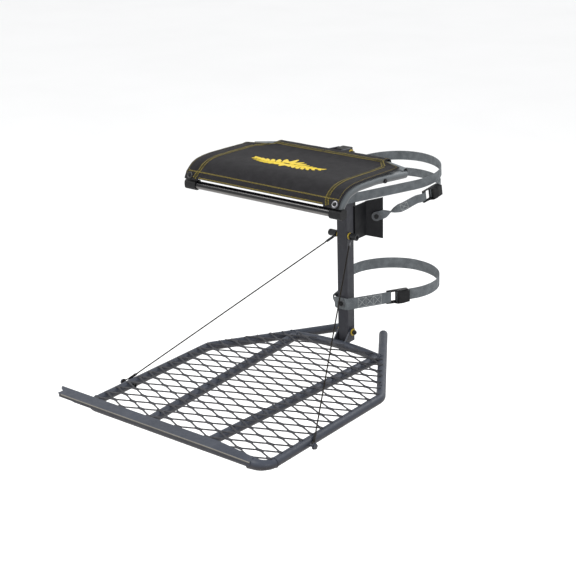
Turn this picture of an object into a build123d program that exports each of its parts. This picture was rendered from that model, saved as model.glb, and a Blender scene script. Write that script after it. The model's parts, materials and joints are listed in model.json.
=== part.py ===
from build123d import *
from math import acos, atan2, cos, hypot, radians, sin
import os

# Hang-on tree stand: a folding deck and a flip-up seat on a post that is strapped to a trunk.
#
# Millimetres.  Z runs up along the trunk, X to the sitter's left-right and -Y away from the trunk,
# towards the front of the deck.  The origin is on the trunk's axis, level with the lower strap.

os.makedirs("parts", exist_ok=True)

# trunk that the straps close on
trunk_radius = 140.0

# steel tube of the deck and of the seat
deck_tube_r = 12.7
seat_tube_r = 11.1
tube_wall = 1.6

# post, a square tube, and the two pivots on it
post_side = 35.0
post_wall = 2.0
post_front_y = -249.4
post_y = post_front_y + post_side / 2
post_rear_y = post_front_y + post_side
post_foot_z = -121.5
post_top_z = 452.0
pivot_r = 4.0
pivot_bore_r = 4.05
washer_r = 10.2
hexagon_r = 6.7
deck_pivot_z = -91.0
seat_pivot_z = 442.0

# deck
deck_z = -124.0
rail_x = 303.4
rail_bend_y = -493.0
rail_tip = (58.5, -129.4)
front_y = -971.0
corner_r = 32.0
slat_front_x = 101.0
slat_rear = (146.0, -283.0)
cross_end = (160.0, -287.0)
cross_mid_y = -265.0
cable_anchor_y = -815.0

# foot bar, a folded plate over the front tube
bar_top_z = deck_z + 18.0
bar_back_y = front_y + 14.0
bar_front_y = front_y - 25.0
bar_lip = 13.0
bar_step = 2.6
bar_plate = 2.6
bar_left_x = -425.0
bar_straight_x = 150.0
bar_right_x = 266.0

# expanded metal of the deck: cell pitch along X and Y, and its opening
cell_x = 100.0
cell_y = 40.6
strand = 3.2
bond = 22.0
mesh_thick = 2.4
mesh_front_y = front_y + 5.2

# seat, whose side rails curve down to the front tube
seat_rail_x = 246.0
seat_front = (-589.0, 398.3)
seat_rail_profile = [
    (-590.0, 390.0),
    (-581.0, 418.0),
    (-555.0, 441.0),
    (-513.0, 449.0),
    (-433.0, 447.0),
    (-301.0, 433.0),
]
seat_bend_radii = [30.0, 38.0, 60.0, 160.0]
seat_back_y = -304.0
seat_back_z = 453.0
seat_back_straight_x = 172.0
seat_back_end = (254.0, -309.0, 442.0)

# straps: flat webbing
web_wide = 25.4
lower_web_wide = 34.0
second_web_wide = 28.0
web_thick = 2.0
upper_ring_z = 293.0
peg_z = 242.0
second_turn_z = 332.5
second_turn_tilt = 4.4

# hinge ears beside the post
ear_in = post_side / 2 + 0.4
ear_thick = 4.0
ear_out = ear_in + ear_thick
ear_round = 13.0

# cables
cable_r = 1.6
cable_bolt_y = -237.0
cable_bolt_z = 202.0
cable_bolt_r = 4.0


def save(made, label):
    """Name a finished piece and write it."""
    made.part.label = label
    export_step(made.part, f"parts/{label}.step")


def tube(path, radius, wall=None):
    """Round tube along a wire, or a solid rod when no wall is given."""
    with BuildPart() as made:
        with BuildSketch(Plane(origin=path @ 0, z_dir=path % 0)):
            Circle(radius)
            if wall:
                Circle(radius - wall, mode=Mode.SUBTRACT)
        sweep(path=path)
    return made.part


def rod_x(radius, x0, x1, y, z):
    """Solid cylinder along X."""
    with BuildPart() as made:
        with BuildSketch(Plane.YZ.offset(x0)):
            with Locations((y, z)):
                Circle(radius)
        extrude(amount=x1 - x0)
    return made.part


# ---------------------------------------------------------------- deck frame

side_wires = {}
for side, sign in (("left", -1), ("right", 1)):
    with BuildLine() as rail_line:
        FilletPolyline(
            (sign * rail_x, front_y + corner_r, deck_z),
            (sign * rail_x, rail_bend_y, deck_z),
            (sign * rail_tip[0], rail_tip[1], deck_z),
            radius=45,
        )
    side_wires[side] = rail_line.wire()
    with BuildPart() as rail:
        add(tube(side_wires[side], deck_tube_r, tube_wall))
        with BuildSketch(Plane.YZ):
            with Locations((cable_anchor_y, deck_z)):
                Circle(cable_bolt_r + 0.05)
        extrude(amount=400, both=True, mode=Mode.SUBTRACT)
    save(rail, f"deck_rail_{side}")

with BuildLine() as front_line:
    FilletPolyline(
        (-rail_x, front_y + corner_r, deck_z),
        (-rail_x, front_y, deck_z),
        (rail_x, front_y, deck_z),
        (rail_x, front_y + corner_r, deck_z),
        radius=corner_r - 0.01,
    )
front_wire = front_line.wire()
with BuildPart() as front_tube:
    add(tube(front_wire, deck_tube_r, tube_wall))
save(front_tube, "deck_front_tube")

with BuildLine() as cross_line:
    ThreePointArc(
        (-cross_end[0], cross_end[1], deck_z),
        (0, cross_mid_y, deck_z),
        (cross_end[0], cross_end[1], deck_z),
    )
cross_wire = cross_line.wire()
side_rods = [tube(wire, deck_tube_r) for wire in side_wires.values()]
front_rod = tube(front_wire, deck_tube_r)
cross_rod = tube(cross_wire, deck_tube_r)
with BuildPart() as cross_tube:
    add(tube(cross_wire, deck_tube_r, tube_wall))
    for rod in side_rods:
        add(rod, mode=Mode.SUBTRACT)
save(cross_tube, "deck_cross_tube")

for side, sign in (("left", -1), ("right", 1)):
    with BuildLine() as slat_line:
        Line(
            (sign * slat_front_x, front_y + 4, deck_z),
            (sign * slat_rear[0], slat_rear[1] - 4, deck_z),
        )
    with BuildPart() as slat:
        add(tube(slat_line.wire(), deck_tube_r, tube_wall))
        add(front_rod, mode=Mode.SUBTRACT)
        add(cross_rod, mode=Mode.SUBTRACT)
        for rod in side_rods:
            add(rod, mode=Mode.SUBTRACT)
    save(slat, f"deck_slat_{side}")

# foot bar: a folded plate with a notched left end, whose right end turns down over the tube
wrap_out = 18.0
wrap_in = 15.6


def bar_section(x, points):
    """Outline of the foot bar across X."""
    with BuildSketch(Plane.YZ.offset(x)) as outline:
        with BuildLine():
            Polyline(*points, close=True)
        make_face()
    return outline.sketch


def bar_outline(back_y):
    """Folded section whose top face starts at back_y."""
    return [
        (back_y, bar_top_z),
        (bar_front_y, bar_top_z),
        (bar_front_y, bar_top_z - bar_plate),
        (bar_front_y + bar_step, bar_top_z - bar_plate),
        (bar_front_y + bar_step, bar_top_z - bar_lip),
        (bar_front_y + bar_step + bar_plate, bar_top_z - bar_lip),
        (bar_front_y + bar_step + bar_plate, bar_top_z - bar_plate),
        (back_y, bar_top_z - bar_plate),
    ]


fold = radians(150)
wrapped_outline = [
    (front_y, deck_z + wrap_out),
    (front_y + wrap_out * cos(fold), deck_z + wrap_out * sin(fold)),
    (front_y - wrap_out + 2, deck_z + wrap_out * sin(fold) - 2),
    (front_y - wrap_out + 2.4, deck_z + 4),
    (front_y - wrap_out + 1.6, deck_z),
    (front_y - wrap_in + 1, deck_z),
    (front_y + wrap_in * cos(fold), deck_z + wrap_in * sin(fold)),
    (front_y, deck_z + wrap_in),
]
with BuildPart() as foot_bar:
    with BuildSketch(Plane.YZ.offset(bar_left_x)):
        with BuildLine():
            Polyline(*bar_outline(bar_back_y), close=True)
        make_face()
    extrude(amount=bar_straight_x - bar_left_x)
    loft(
        [
            bar_section(bar_straight_x, bar_outline(bar_back_y)).face(),
            bar_section(bar_right_x, wrapped_outline).face(),
        ],
        ruled=True,
    )
    with BuildSketch(Plane.XY.offset(bar_top_z)):
        with BuildLine():
            Polyline(
                (bar_left_x - 1, bar_back_y + 1),
                (bar_left_x + 6, bar_back_y + 1),
                (bar_left_x + 14, bar_back_y - 10),
                (bar_left_x + 31, bar_back_y - 20),
                (bar_left_x + 29, bar_front_y + 3),
                (bar_left_x + 36, bar_front_y),
                (bar_left_x + 36, bar_front_y - 1),
                (bar_left_x - 1, bar_front_y - 1),
                close=True,
            )
        make_face()
    extrude(amount=-60, mode=Mode.SUBTRACT)
    with BuildSketch(Plane.XZ.offset(-bar_front_y - 5)):
        with BuildLine():
            Polyline(
                (bar_left_x - 1, bar_top_z - bar_plate),
                (bar_left_x + 30, bar_top_z - bar_plate),
                (bar_left_x + 95, bar_top_z - bar_lip - 1),
                (bar_left_x - 1, bar_top_z - bar_lip - 1),
                close=True,
            )
        make_face()
    extrude(amount=10, mode=Mode.SUBTRACT)
save(foot_bar, "foot_bar")

# expanded metal sheet on the tubes
mesh_z = deck_z + deck_tube_r
half_x = cell_x / 2
half_y = cell_y / 2
mesh_mid_y = (mesh_front_y + cross_end[1]) / 2
mesh_corners = [
    (-rail_x, mesh_front_y),
    (-rail_x, rail_bend_y),
    (-cross_end[0] - 6, cross_end[1]),
    (cross_end[0] + 6, cross_end[1]),
    (rail_x, rail_bend_y),
    (rail_x, mesh_front_y),
]
with BuildSketch() as cell:
    with BuildLine():
        Polyline(
            (-half_x + bond / 2 + strand, 0),
            (-bond / 2, half_y - strand),
            (bond / 2, half_y - strand),
            (half_x - bond / 2 - strand, 0),
            (bond / 2, strand - half_y),
            (-bond / 2, strand - half_y),
            close=True,
        )
    make_face()
with BuildPart() as deck_mesh:
    with BuildSketch(Plane.XY.offset(mesh_z)):
        with BuildLine():
            Polyline(*mesh_corners, close=True)
        make_face()
        for shift_x, shift_y in ((0, 0), (half_x, half_y)):
            with Locations((shift_x, mesh_mid_y + shift_y)):
                with GridLocations(cell_x, cell_y, 8, 20):
                    add(cell.sketch, mode=Mode.SUBTRACT)
    extrude(amount=mesh_thick)
    with BuildSketch(Plane.XY.offset(mesh_z)):
        with BuildLine():
            Polyline(*mesh_corners, close=True)
        make_face()
        offset(amount=-2 * strand, mode=Mode.SUBTRACT)
    extrude(amount=mesh_thick)
save(deck_mesh, "deck_mesh")


# deck hinge: two ears that rise from the cross tube and turn on the post's lower bolt
with BuildPart() as deck_ears:
    for sign in (-1, 1):
        with BuildSketch(Plane.YZ.offset(sign * (ear_in + ear_thick / 2))):
            with BuildLine():
                Polyline(
                    (cross_mid_y - 4, deck_z + 11),
                    (cross_mid_y + 12, deck_z - 2),
                    (post_y + ear_round - 1, deck_pivot_z - 5),
                    (post_y + ear_round - 1, deck_pivot_z + 5),
                    (post_y - ear_round + 2, deck_pivot_z + 7),
                    close=True,
                )
            make_face()
            with Locations((post_y, deck_pivot_z)):
                Circle(ear_round)
                Circle(pivot_bore_r, mode=Mode.SUBTRACT)
        extrude(amount=ear_thick / 2, both=True)
    add(cross_rod, mode=Mode.SUBTRACT)
save(deck_ears, "deck_hinge_ears")

# bolts that hold the suspension cables on the outer sides of the rails
anchor_out = rail_x + deck_tube_r
with BuildPart() as anchor_bolts:
    for sign in (-1, 1):
        with BuildSketch(Plane.YZ.offset(sign * (rail_x - deck_tube_r - 1.0))):
            with Locations((cable_anchor_y, deck_z)):
                Circle(cable_bolt_r)
        extrude(amount=sign * (2 * deck_tube_r + 16.5))
        with BuildSketch(Plane.YZ.offset(sign * (anchor_out + 14))):
            with Locations((cable_anchor_y, deck_z)):
                RegularPolygon(7.5, 6)
        extrude(amount=sign * 5)
        with BuildSketch(Plane.YZ.offset(sign * (anchor_out + 12.4))):
            with Locations((cable_anchor_y, deck_z)):
                Circle(9.0)
        extrude(amount=sign * 1.6)
save(anchor_bolts, "cable_anchor_bolts")
with BuildPart() as anchor_nuts:
    for sign in (-1, 1):
        with BuildSketch(Plane.YZ.offset(sign * (rail_x - deck_tube_r))):
            with Locations((cable_anchor_y, deck_z)):
                RegularPolygon(7.5, 6)
                Circle(cable_bolt_r + 0.02, mode=Mode.SUBTRACT)
        extrude(amount=-sign * 6)
    for rod in side_rods:
        add(rod, mode=Mode.SUBTRACT)
save(anchor_nuts, "cable_anchor_nuts")

# ---------------------------------------------------------------- post

with BuildPart() as post:
    with BuildSketch(Plane.XY.offset(post_foot_z)):
        with Locations((0, post_y)):
            RectangleRounded(post_side, post_side, 3)
            RectangleRounded(post_side - 2 * post_wall, post_side - 2 * post_wall, 1.5, mode=Mode.SUBTRACT)
    extrude(amount=post_top_z - post_foot_z)
    for y, z, radius in (
        (post_y, deck_pivot_z, pivot_bore_r),
        (post_y, seat_pivot_z, pivot_bore_r),
        (cable_bolt_y, cable_bolt_z, cable_bolt_r + 0.05),
    ):
        with BuildSketch(Plane.YZ):
            with Locations((y, z)):
                Circle(radius)
        extrude(amount=post_side, both=True, mode=Mode.SUBTRACT)
    with BuildSketch(Plane.XZ.offset(-post_y)):
        Circle(cable_bolt_r + 0.05)
    extrude(amount=post_side, mode=Mode.SUBTRACT)
save(post, "post_tube")

with BuildPart() as cap:
    with BuildSketch(Plane.XY.offset(post_top_z)):
        with Locations((0, post_y)):
            RectangleRounded(post_side, post_side, 3)
    extrude(amount=2.5)
    fillet(cap.faces().sort_by(Axis.Z)[-1].edges(), 1.2)
    with BuildSketch(Plane.XY.offset(post_top_z)):
        with Locations((0, post_y)):
            RectangleRounded(post_side - 2 * post_wall - 0.4, post_side - 2 * post_wall - 0.4, 1.5)
    extrude(amount=-4)
save(cap, "post_cap")

# bracket behind the post whose two wings rest on the trunk
bracket_foot_z = 173.0
bracket_top_z = 296.0
bracket_thick = 4.0
wing_root = (post_side / 2, -158.0)
wing_angle = 34.6
wing_long = 50.0
bracket_root_foot_z = 184.0
bracket_root_top_z = 284.0
wing_tip = (
    wing_root[0] + wing_long * cos(radians(wing_angle)),
    wing_root[1] + wing_long * sin(radians(wing_angle)),
)
with BuildPart() as bracket:
    with BuildSketch(Plane.XY.offset(bracket_foot_z)):
        for sign in (-1, 1):
            with BuildLine():
                Polyline(
                    (0, post_rear_y + 0.1),
                    (sign * (wing_root[0] + bracket_thick), post_rear_y + 0.1),
                    (sign * (wing_root[0] + bracket_thick), wing_root[1] - 2),
                    (
                        sign * (wing_tip[0] + bracket_thick * sin(radians(wing_angle))),
                        wing_tip[1] - bracket_thick * cos(radians(wing_angle)),
                    ),
                    (sign * wing_tip[0], wing_tip[1]),
                    (sign * wing_root[0], wing_root[1]),
                    (sign * wing_root[0], post_rear_y + 0.1 + bracket_thick),
                    (0, post_rear_y + 0.1 + bracket_thick),
                    close=True,
                )
            make_face()
    extrude(amount=bracket_top_z - bracket_foot_z)
    with BuildSketch(Plane.YZ):
        with BuildLine():
            Polyline(
                (post_rear_y - 5, bracket_root_foot_z),
                (wing_root[1] - 4, bracket_root_foot_z),
                (wing_tip[1], bracket_foot_z),
                (wing_tip[1] + 5, bracket_foot_z),
                (wing_tip[1] + 5, bracket_top_z),
                (wing_tip[1], bracket_top_z),
                (wing_root[1] - 4, bracket_root_top_z),
                (post_rear_y - 5, bracket_root_top_z),
                close=True,
            )
        make_face()
    extrude(amount=100, both=True, mode=Mode.INTERSECT)
    for sign in (-1, 1):
        outward = Vector(sign * sin(radians(wing_angle)), -cos(radians(wing_angle)), 0)
        seat_of_peg = Vector(
            sign * (wing_root[0] + 31 * cos(radians(wing_angle))),
            wing_root[1] + 31 * sin(radians(wing_angle)),
            peg_z,
        )
        with BuildSketch(Plane(origin=seat_of_peg - outward, z_dir=outward)):
            Circle(4.05)
        extrude(amount=12, mode=Mode.SUBTRACT)
save(bracket, "tree_bracket")

# bolts that carry the straps, two on the bracket's wings and one on the post, each with a washer
button_gap = 2 * web_thick + 0.6
bolt_seats = [(Plane.XZ.offset(-post_front_y - post_wall), post_wall + button_gap, 13.0)]
for sign in (-1, 1):
    outward = Vector(sign * sin(radians(wing_angle)), -cos(radians(wing_angle)), 0)
    seat_of_peg = Vector(
        sign * (wing_root[0] + 31 * cos(radians(wing_angle))),
        wing_root[1] + 31 * sin(radians(wing_angle)),
        peg_z,
    )
    bolt_seats.append((Plane(origin=seat_of_peg, z_dir=outward), bracket_thick + 6, 13.5))
with BuildPart() as strap_bolts:
    for seat, grip, radius in bolt_seats:
        with BuildSketch(seat):
            Circle(4.0)
        extrude(amount=grip + 3)
        with BuildSketch(seat.offset(grip + 2.4)):
            Circle(7.0)
        extrude(amount=3.5, taper=12)
save(strap_bolts, "strap_bolts")
with BuildPart() as strap_washers:
    for seat, grip, radius in bolt_seats:
        with BuildSketch(seat.offset(grip)):
            Circle(radius)
            Circle(4.05, mode=Mode.SUBTRACT)
        extrude(amount=2.3)
save(strap_washers, "strap_washers")

# pivot bolts: hexagon head on the left, nut on the right, a plated washer under each
bolt_seat_x = ear_out + 0.2
washer_thick = 2.0
for name, z in (("deck_pivot", deck_pivot_z), ("seat_pivot", seat_pivot_z)):
    with BuildPart() as bolt:
        add(rod_x(pivot_r, -bolt_seat_x - washer_thick - 1, bolt_seat_x + washer_thick + 10, post_y, z))
        with BuildSketch(Plane.YZ.offset(-bolt_seat_x - washer_thick)):
            with Locations((post_y, z)):
                RegularPolygon(hexagon_r, 6)
        extrude(amount=-6.4)
    save(bolt, f"{name}_bolt")
    with BuildPart() as nut:
        with BuildSketch(Plane.YZ.offset(bolt_seat_x + washer_thick)):
            with Locations((post_y, z)):
                RegularPolygon(hexagon_r, 6)
                Circle(pivot_r + 0.02, mode=Mode.SUBTRACT)
        extrude(amount=8)
    save(nut, f"{name}_nut")
    with BuildPart() as washers:
        for sign in (-1, 1):
            with BuildSketch(Plane.YZ.offset(sign * bolt_seat_x)):
                with Locations((post_y, z)):
                    Circle(washer_r)
                    Circle(pivot_bore_r, mode=Mode.SUBTRACT)
            extrude(amount=sign * washer_thick)
    save(washers, f"{name}_washers")

# bolt through the post for the upper ends of the cables, with a spacer on each side
spacer_in = post_side / 2 + 7.4
spacer_out = spacer_in + 20.0
spacer_r = 9.6
spacer_mouth = 5.0
with BuildPart() as cable_bolt:
    add(rod_x(cable_bolt_r, -spacer_out - 1, spacer_out - spacer_mouth, cable_bolt_y, cable_bolt_z))
    with BuildSketch(Plane.YZ.offset(-spacer_out)):
        with Locations((cable_bolt_y, cable_bolt_z)):
            Circle(10.0)
    extrude(amount=-6, taper=8)
save(cable_bolt, "cable_bolt")
with BuildPart() as cable_washers:
    for sign in (-1, 1):
        with BuildSketch(Plane.YZ.offset(sign * (post_side / 2 + 0.1))):
            with Locations((cable_bolt_y, cable_bolt_z)):
                Circle(9.5)
                Circle(cable_bolt_r + 0.05, mode=Mode.SUBTRACT)
        extrude(amount=sign * 2.4)
save(cable_washers, "cable_bolt_washers")

# ---------------------------------------------------------------- suspension cables

upper_eye_x = post_side / 2 + 5.3
lower_eye_x = anchor_out + 10.0
crimp_r = 3.6
crimp_long = 24.0
eye_reach = 15.0


def cable_ends(sign):
    """Upper and lower eye centres of one cable."""
    upper = Vector(sign * upper_eye_x, cable_bolt_y, cable_bolt_z)
    lower = Vector(sign * lower_eye_x, cable_anchor_y, deck_z)
    return upper, lower


def cable_eye(centre, toward, hole_r):
    """Flat eye round a bolt along X with its crimped sleeve pointing along the cable."""
    along = (toward - centre).normalized()
    with BuildPart() as made:
        with BuildSketch(Plane(origin=centre - Vector(2.0, 0, 0), z_dir=(1, 0, 0))):
            Circle(hole_r + 3.4)
            Circle(hole_r + 0.1, mode=Mode.SUBTRACT)
        extrude(amount=4.0)
        with BuildSketch(Plane(origin=centre + along * (hole_r + 2.2), z_dir=along)):
            Circle(crimp_r - 1.2)
        extrude(amount=eye_reach - hole_r)
        with BuildSketch(Plane(origin=centre + along * eye_reach, z_dir=along)):
            Circle(crimp_r)
        extrude(amount=crimp_long)
    return made.part


with BuildPart() as upper_eyes:
    for sign in (-1, 1):
        ends = cable_ends(sign)
        add(cable_eye(ends[0], ends[1], cable_bolt_r))
save(upper_eyes, "cable_eyes_upper")
with BuildPart() as cable_spacers:
    for sign in (-1, 1):
        with BuildSketch(Plane.YZ.offset(sign * spacer_in)):
            with Locations((cable_bolt_y, cable_bolt_z)):
                Circle(spacer_r)
                Circle(cable_bolt_r + 0.05, mode=Mode.SUBTRACT)
        extrude(amount=sign * (spacer_out - spacer_in))
    with BuildSketch(Plane.YZ.offset(spacer_out - spacer_mouth)):
        with Locations((cable_bolt_y, cable_bolt_z)):
            Circle(6.0)
    extrude(amount=2 * spacer_mouth, mode=Mode.SUBTRACT)
    add(upper_eyes.part, mode=Mode.SUBTRACT)
save(cable_spacers, "cable_bolt_spacers")
with BuildPart() as lower_eyes:
    for sign in (-1, 1):
        ends = cable_ends(sign)
        add(cable_eye(ends[1], ends[0], cable_bolt_r))
save(lower_eyes, "cable_eyes_lower")
for side, sign in (("left", -1), ("right", 1)):
    ends = cable_ends(sign)
    along = (ends[1] - ends[0]).normalized()
    bare = (ends[1] - ends[0]).length - 2 * (eye_reach + crimp_long)
    with BuildPart() as cable:
        with BuildSketch(Plane(origin=ends[0] + along * (eye_reach + crimp_long), z_dir=along)):
            Circle(cable_r)
        extrude(amount=bare)
    save(cable, f"suspension_cable_{side}")
    print(f"cable {side} {bare:.0f} mm")

# ---------------------------------------------------------------- straps

hug = 0.1


def strap_outline(radius, gap):
    """Plan wire of a strap drawn tight round the trunk and the front of the post."""
    corner = (post_side / 2 + gap, post_front_y - gap)
    touch = atan2(corner[1], corner[0]) + acos(radius / hypot(*corner))
    start = (radius * cos(touch), radius * sin(touch))
    with BuildLine() as outline:
        Polyline((-start[0], start[1]), (-corner[0], corner[1]), corner, start)
        ThreePointArc(start, (0, radius), (-start[0], start[1]))
    return outline.wire()


def strap_ring(plane, radius, gap, wide):
    """Closed band of webbing whose middle lies in a plane."""
    with BuildSketch(plane.offset(-wide / 2)) as section:
        with BuildLine():
            add(strap_outline(radius, gap))
        make_face()
        offset(amount=web_thick)
        with BuildLine():
            add(strap_outline(radius, gap))
        make_face(mode=Mode.SUBTRACT)
    with BuildPart() as ring:
        add(section.sketch)
        extrude(amount=wide)
    return ring.part


def buckle_plane(distance, z):
    """Plane on a strap: origin on its inner face, X along it, Z away from the trunk."""
    corner = Vector(post_side / 2 + hug, post_front_y - hug, z)
    touch = atan2(corner.Y, corner.X) + acos((trunk_radius + hug) / hypot(corner.X, corner.Y))
    along = Vector(-sin(touch), cos(touch), 0)
    outward = Vector(cos(touch), sin(touch), 0)
    return Plane(origin=corner + along * distance, x_dir=along, z_dir=outward)


buckle_long = 64.0
cheek = 2.4
cam_pin_u = 6.0
window_u = -10.5
lower_buckle = buckle_plane(155.0, 0.5)
upper_angle = radians(-6)
upper_rise = radians(9)
upper_outward = Vector(cos(upper_angle), sin(upper_angle), 0)
upper_level = Vector(-sin(upper_angle), cos(upper_angle), 0)
upper_buckle = Plane(
    origin=upper_outward * (trunk_radius + hug) + Vector(0, 0, upper_ring_z),
    x_dir=upper_level * cos(upper_rise) + Vector(0, 0, sin(upper_rise)),
    z_dir=upper_outward,
)

# each buckle: a base plate with a slot for the strap's end, two cheeks, a pin and a toothed lever
buckles = (("lower", lower_buckle, -2.5, 20.4), ("upper", upper_buckle, 0.1, 17.6))
for name, seat, floor, buckle_half in buckles:
    side_view = Plane(origin=seat.origin, x_dir=seat.x_dir, z_dir=-seat.y_dir)
    with BuildPart() as frame:
        for sign in (-1, 1):
            middle = sign * (buckle_half - cheek / 2)
            with BuildSketch(side_view.offset(middle)):
                with BuildLine():
                    Polyline(
                        (-buckle_long / 2, floor),
                        (-buckle_long / 2, floor + 5),
                        (cam_pin_u - 14, floor + 7),
                        (cam_pin_u - 7, floor + 16),
                        (cam_pin_u + 8, floor + 17.5),
                        (buckle_long / 2, floor + 13),
                        (buckle_long / 2, floor),
                        close=True,
                    )
                make_face()
            extrude(amount=cheek / 2, both=True)
        with BuildSketch(seat.offset(floor)):
            Rectangle(buckle_long, 2 * buckle_half)
            with Locations((window_u, 0)):
                Rectangle(14, 26, mode=Mode.SUBTRACT)
        extrude(amount=2.2)
        with BuildSketch(side_view):
            with Locations((cam_pin_u, floor + 11.5)):
                Circle(2.52)
        extrude(amount=40, both=True, mode=Mode.SUBTRACT)
        with BuildSketch(side_view):
            with BuildLine():
                Polyline(
                    (buckle_long / 2 - 6, floor),
                    (buckle_long / 2 + 1, floor - 1),
                    (buckle_long / 2 + 1, floor + 1.3),
                    close=True,
                )
            make_face()
        extrude(amount=40, both=True, mode=Mode.SUBTRACT)
    save(frame, f"{name}_buckle_frame")
    with BuildPart() as pin:
        with BuildSketch(side_view):
            with Locations((cam_pin_u, floor + 11.5)):
                Circle(2.5)
        extrude(amount=buckle_half + 0.8, both=True)
    save(pin, f"{name}_buckle_pin")
    with BuildPart() as cam:
        with BuildSketch(side_view):
            with Locations((cam_pin_u, floor + 11.5)):
                Circle(6.0)
            with BuildLine():
                Polyline(
                    (cam_pin_u - 2, floor + 17.2),
                    (cam_pin_u + 12, floor + 20),
                    (cam_pin_u + 29, floor + 19),
                    (cam_pin_u + 29, floor + 9),
                    (cam_pin_u + 15, floor + 9),
                    (cam_pin_u + 4, floor + 7.2),
                    close=True,
                )
            make_face()
            with Locations((cam_pin_u, floor + 11.5)):
                Circle(2.55, mode=Mode.SUBTRACT)
        extrude(amount=buckle_half - cheek - 0.4, both=True)
    save(cam, f"{name}_buckle_cam")
    pivot = side_view.from_local_coords(Vector(cam_pin_u, floor + 11.5, 0))
    opening = -seat.y_dir
    print(f"{name} cam pivot {pivot.X:.3f} {pivot.Y:.3f} {pivot.Z:.3f}")
    print(f"{name} cam axis {opening.X:.5f} {opening.Y:.5f} {opening.Z:.5f}")

# lower strap: parted under the button's washer and inside the buckle
lower_ring = strap_ring(Plane.XY, trunk_radius + hug, hug, lower_web_wide)
with BuildPart() as lower_strap:
    add(lower_ring)
    with BuildSketch(Plane.XZ.offset(-post_front_y - 5)):
        with Locations((-14, 0)):
            Rectangle(0.6, 60)
    extrude(amount=20, mode=Mode.SUBTRACT)
    with BuildSketch(lower_buckle):
        with Locations((window_u, 0)):
            Rectangle(14, 60)
    extrude(amount=8, both=True, mode=Mode.SUBTRACT)
    with BuildSketch(Plane.XZ.offset(-post_front_y - 5)):
        Circle(4.6)
    extrude(amount=20, mode=Mode.SUBTRACT)
lower_pieces = lower_strap.part.solids().sort_by(SortBy.VOLUME)
for piece, label in ((lower_pieces[0], "lower_strap_short"), (lower_pieces[-1], "lower_strap_long")):
    with BuildPart() as strap_piece:
        add(piece)
    save(strap_piece, label)

with BuildPart() as second_turn:
    lean = radians(second_turn_tilt)
    tilted = Plane(origin=(0, 0, second_turn_z), x_dir=(1, 0, 0), z_dir=(0, -sin(lean), cos(lean)))
    add(strap_ring(tilted, trunk_radius + 1.6, 2.3, second_web_wide))
save(second_turn, "upper_strap_second_turn")


def strap_station(angle, radius, z, rise):
    """Cross-section of the upper strap on the trunk, its long side square to the strap's run."""
    turn = radians(angle)
    outward = Vector(cos(turn), sin(turn), 0)
    level = Vector(-sin(turn), cos(turn), 0)
    along = (level * cos(radians(rise)) + Vector(0, 0, sin(radians(rise)))).normalized()
    with BuildSketch(Plane(origin=outward * radius + Vector(0, 0, z), x_dir=outward, z_dir=along)) as cut:
        Rectangle(web_thick, web_wide)
    return cut.sketch.face()


wing_run = Vector(cos(radians(wing_angle)), sin(radians(wing_angle)), 0)
wing_out = Vector(sin(radians(wing_angle)), -cos(radians(wing_angle)), 0)
peg_seat = Vector(wing_root[0], wing_root[1], peg_z) + wing_run * 31 + wing_out * (bracket_thick + 3)


def strap_at_peg(shift, rise):
    """Cross-section of the upper strap beside its peg."""
    along = (wing_run * cos(radians(rise)) + Vector(0, 0, sin(radians(rise)))).normalized()
    with BuildSketch(Plane(origin=peg_seat + along * shift, x_dir=wing_out, z_dir=along)) as cut:
        Rectangle(web_thick, web_wide)
    return cut.sketch.face()


lead = [
    strap_at_peg(-13, 8),
    strap_at_peg(14, 8),
    strap_station(-43.7, trunk_radius + 2.9, 267.0, 22),
    strap_station(-34, trunk_radius + 2.6, 278.0, 20),
    strap_station(-27, trunk_radius + 2.4, 284.0, 13),
    strap_station(-20.4, trunk_radius + 2.2, upper_ring_z - 5, 9),
]
with BuildPart() as strap_lead:
    for first, second in zip(lead, lead[1:]):
        loft([first, second], ruled=True)
    with BuildSketch(Plane(origin=peg_seat - wing_out * 3, z_dir=wing_out)):
        Circle(4.6)
    extrude(amount=6, mode=Mode.SUBTRACT)
save(strap_lead, "upper_strap_short")

with BuildPart() as strap_long:
    add(mirror(strap_lead.part, about=Plane.YZ))
    with BuildSketch(Plane.XY.offset(upper_ring_z - web_wide / 2)):
        Circle(trunk_radius + hug + web_thick)
        Circle(trunk_radius + hug, mode=Mode.SUBTRACT)
        with BuildLine():
            Polyline(
                (0, 0),
                (300 * cos(radians(9.5)), 300 * sin(radians(9.5))),
                (300, -300),
                (-300, -300),
                (300 * cos(radians(194.3)), 300 * sin(radians(194.3))),
                close=True,
            )
        make_face(mode=Mode.SUBTRACT)
    extrude(amount=web_wide)
save(strap_long, "upper_strap_long")

# ---------------------------------------------------------------- seat

rail_rods = []
for side, sign in (("left", -1), ("right", 1)):
    with BuildLine() as seat_line:
        FilletPolyline(
            *[(sign * seat_rail_x, y, z) for y, z in seat_rail_profile],
            radius=seat_bend_radii,
        )
    rail_rods.append(tube(seat_line.wire(), seat_tube_r))
    with BuildPart() as seat_rail:
        add(tube(seat_line.wire(), seat_tube_r, tube_wall))
    save(seat_rail, f"seat_rail_{side}")

with BuildPart() as seat_front_tube:
    with BuildSketch(Plane.YZ):
        with Locations(seat_front):
            Circle(seat_tube_r)
            Circle(seat_tube_r - tube_wall, mode=Mode.SUBTRACT)
    extrude(amount=seat_rail_x, both=True)
    for rod in rail_rods:
        add(rod, mode=Mode.SUBTRACT)
seat_front_piece = seat_front_tube.part.solids().sort_by(SortBy.VOLUME)[-1]
with BuildPart() as seat_front_tube:
    add(seat_front_piece)
save(seat_front_tube, "seat_front_tube")

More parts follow.
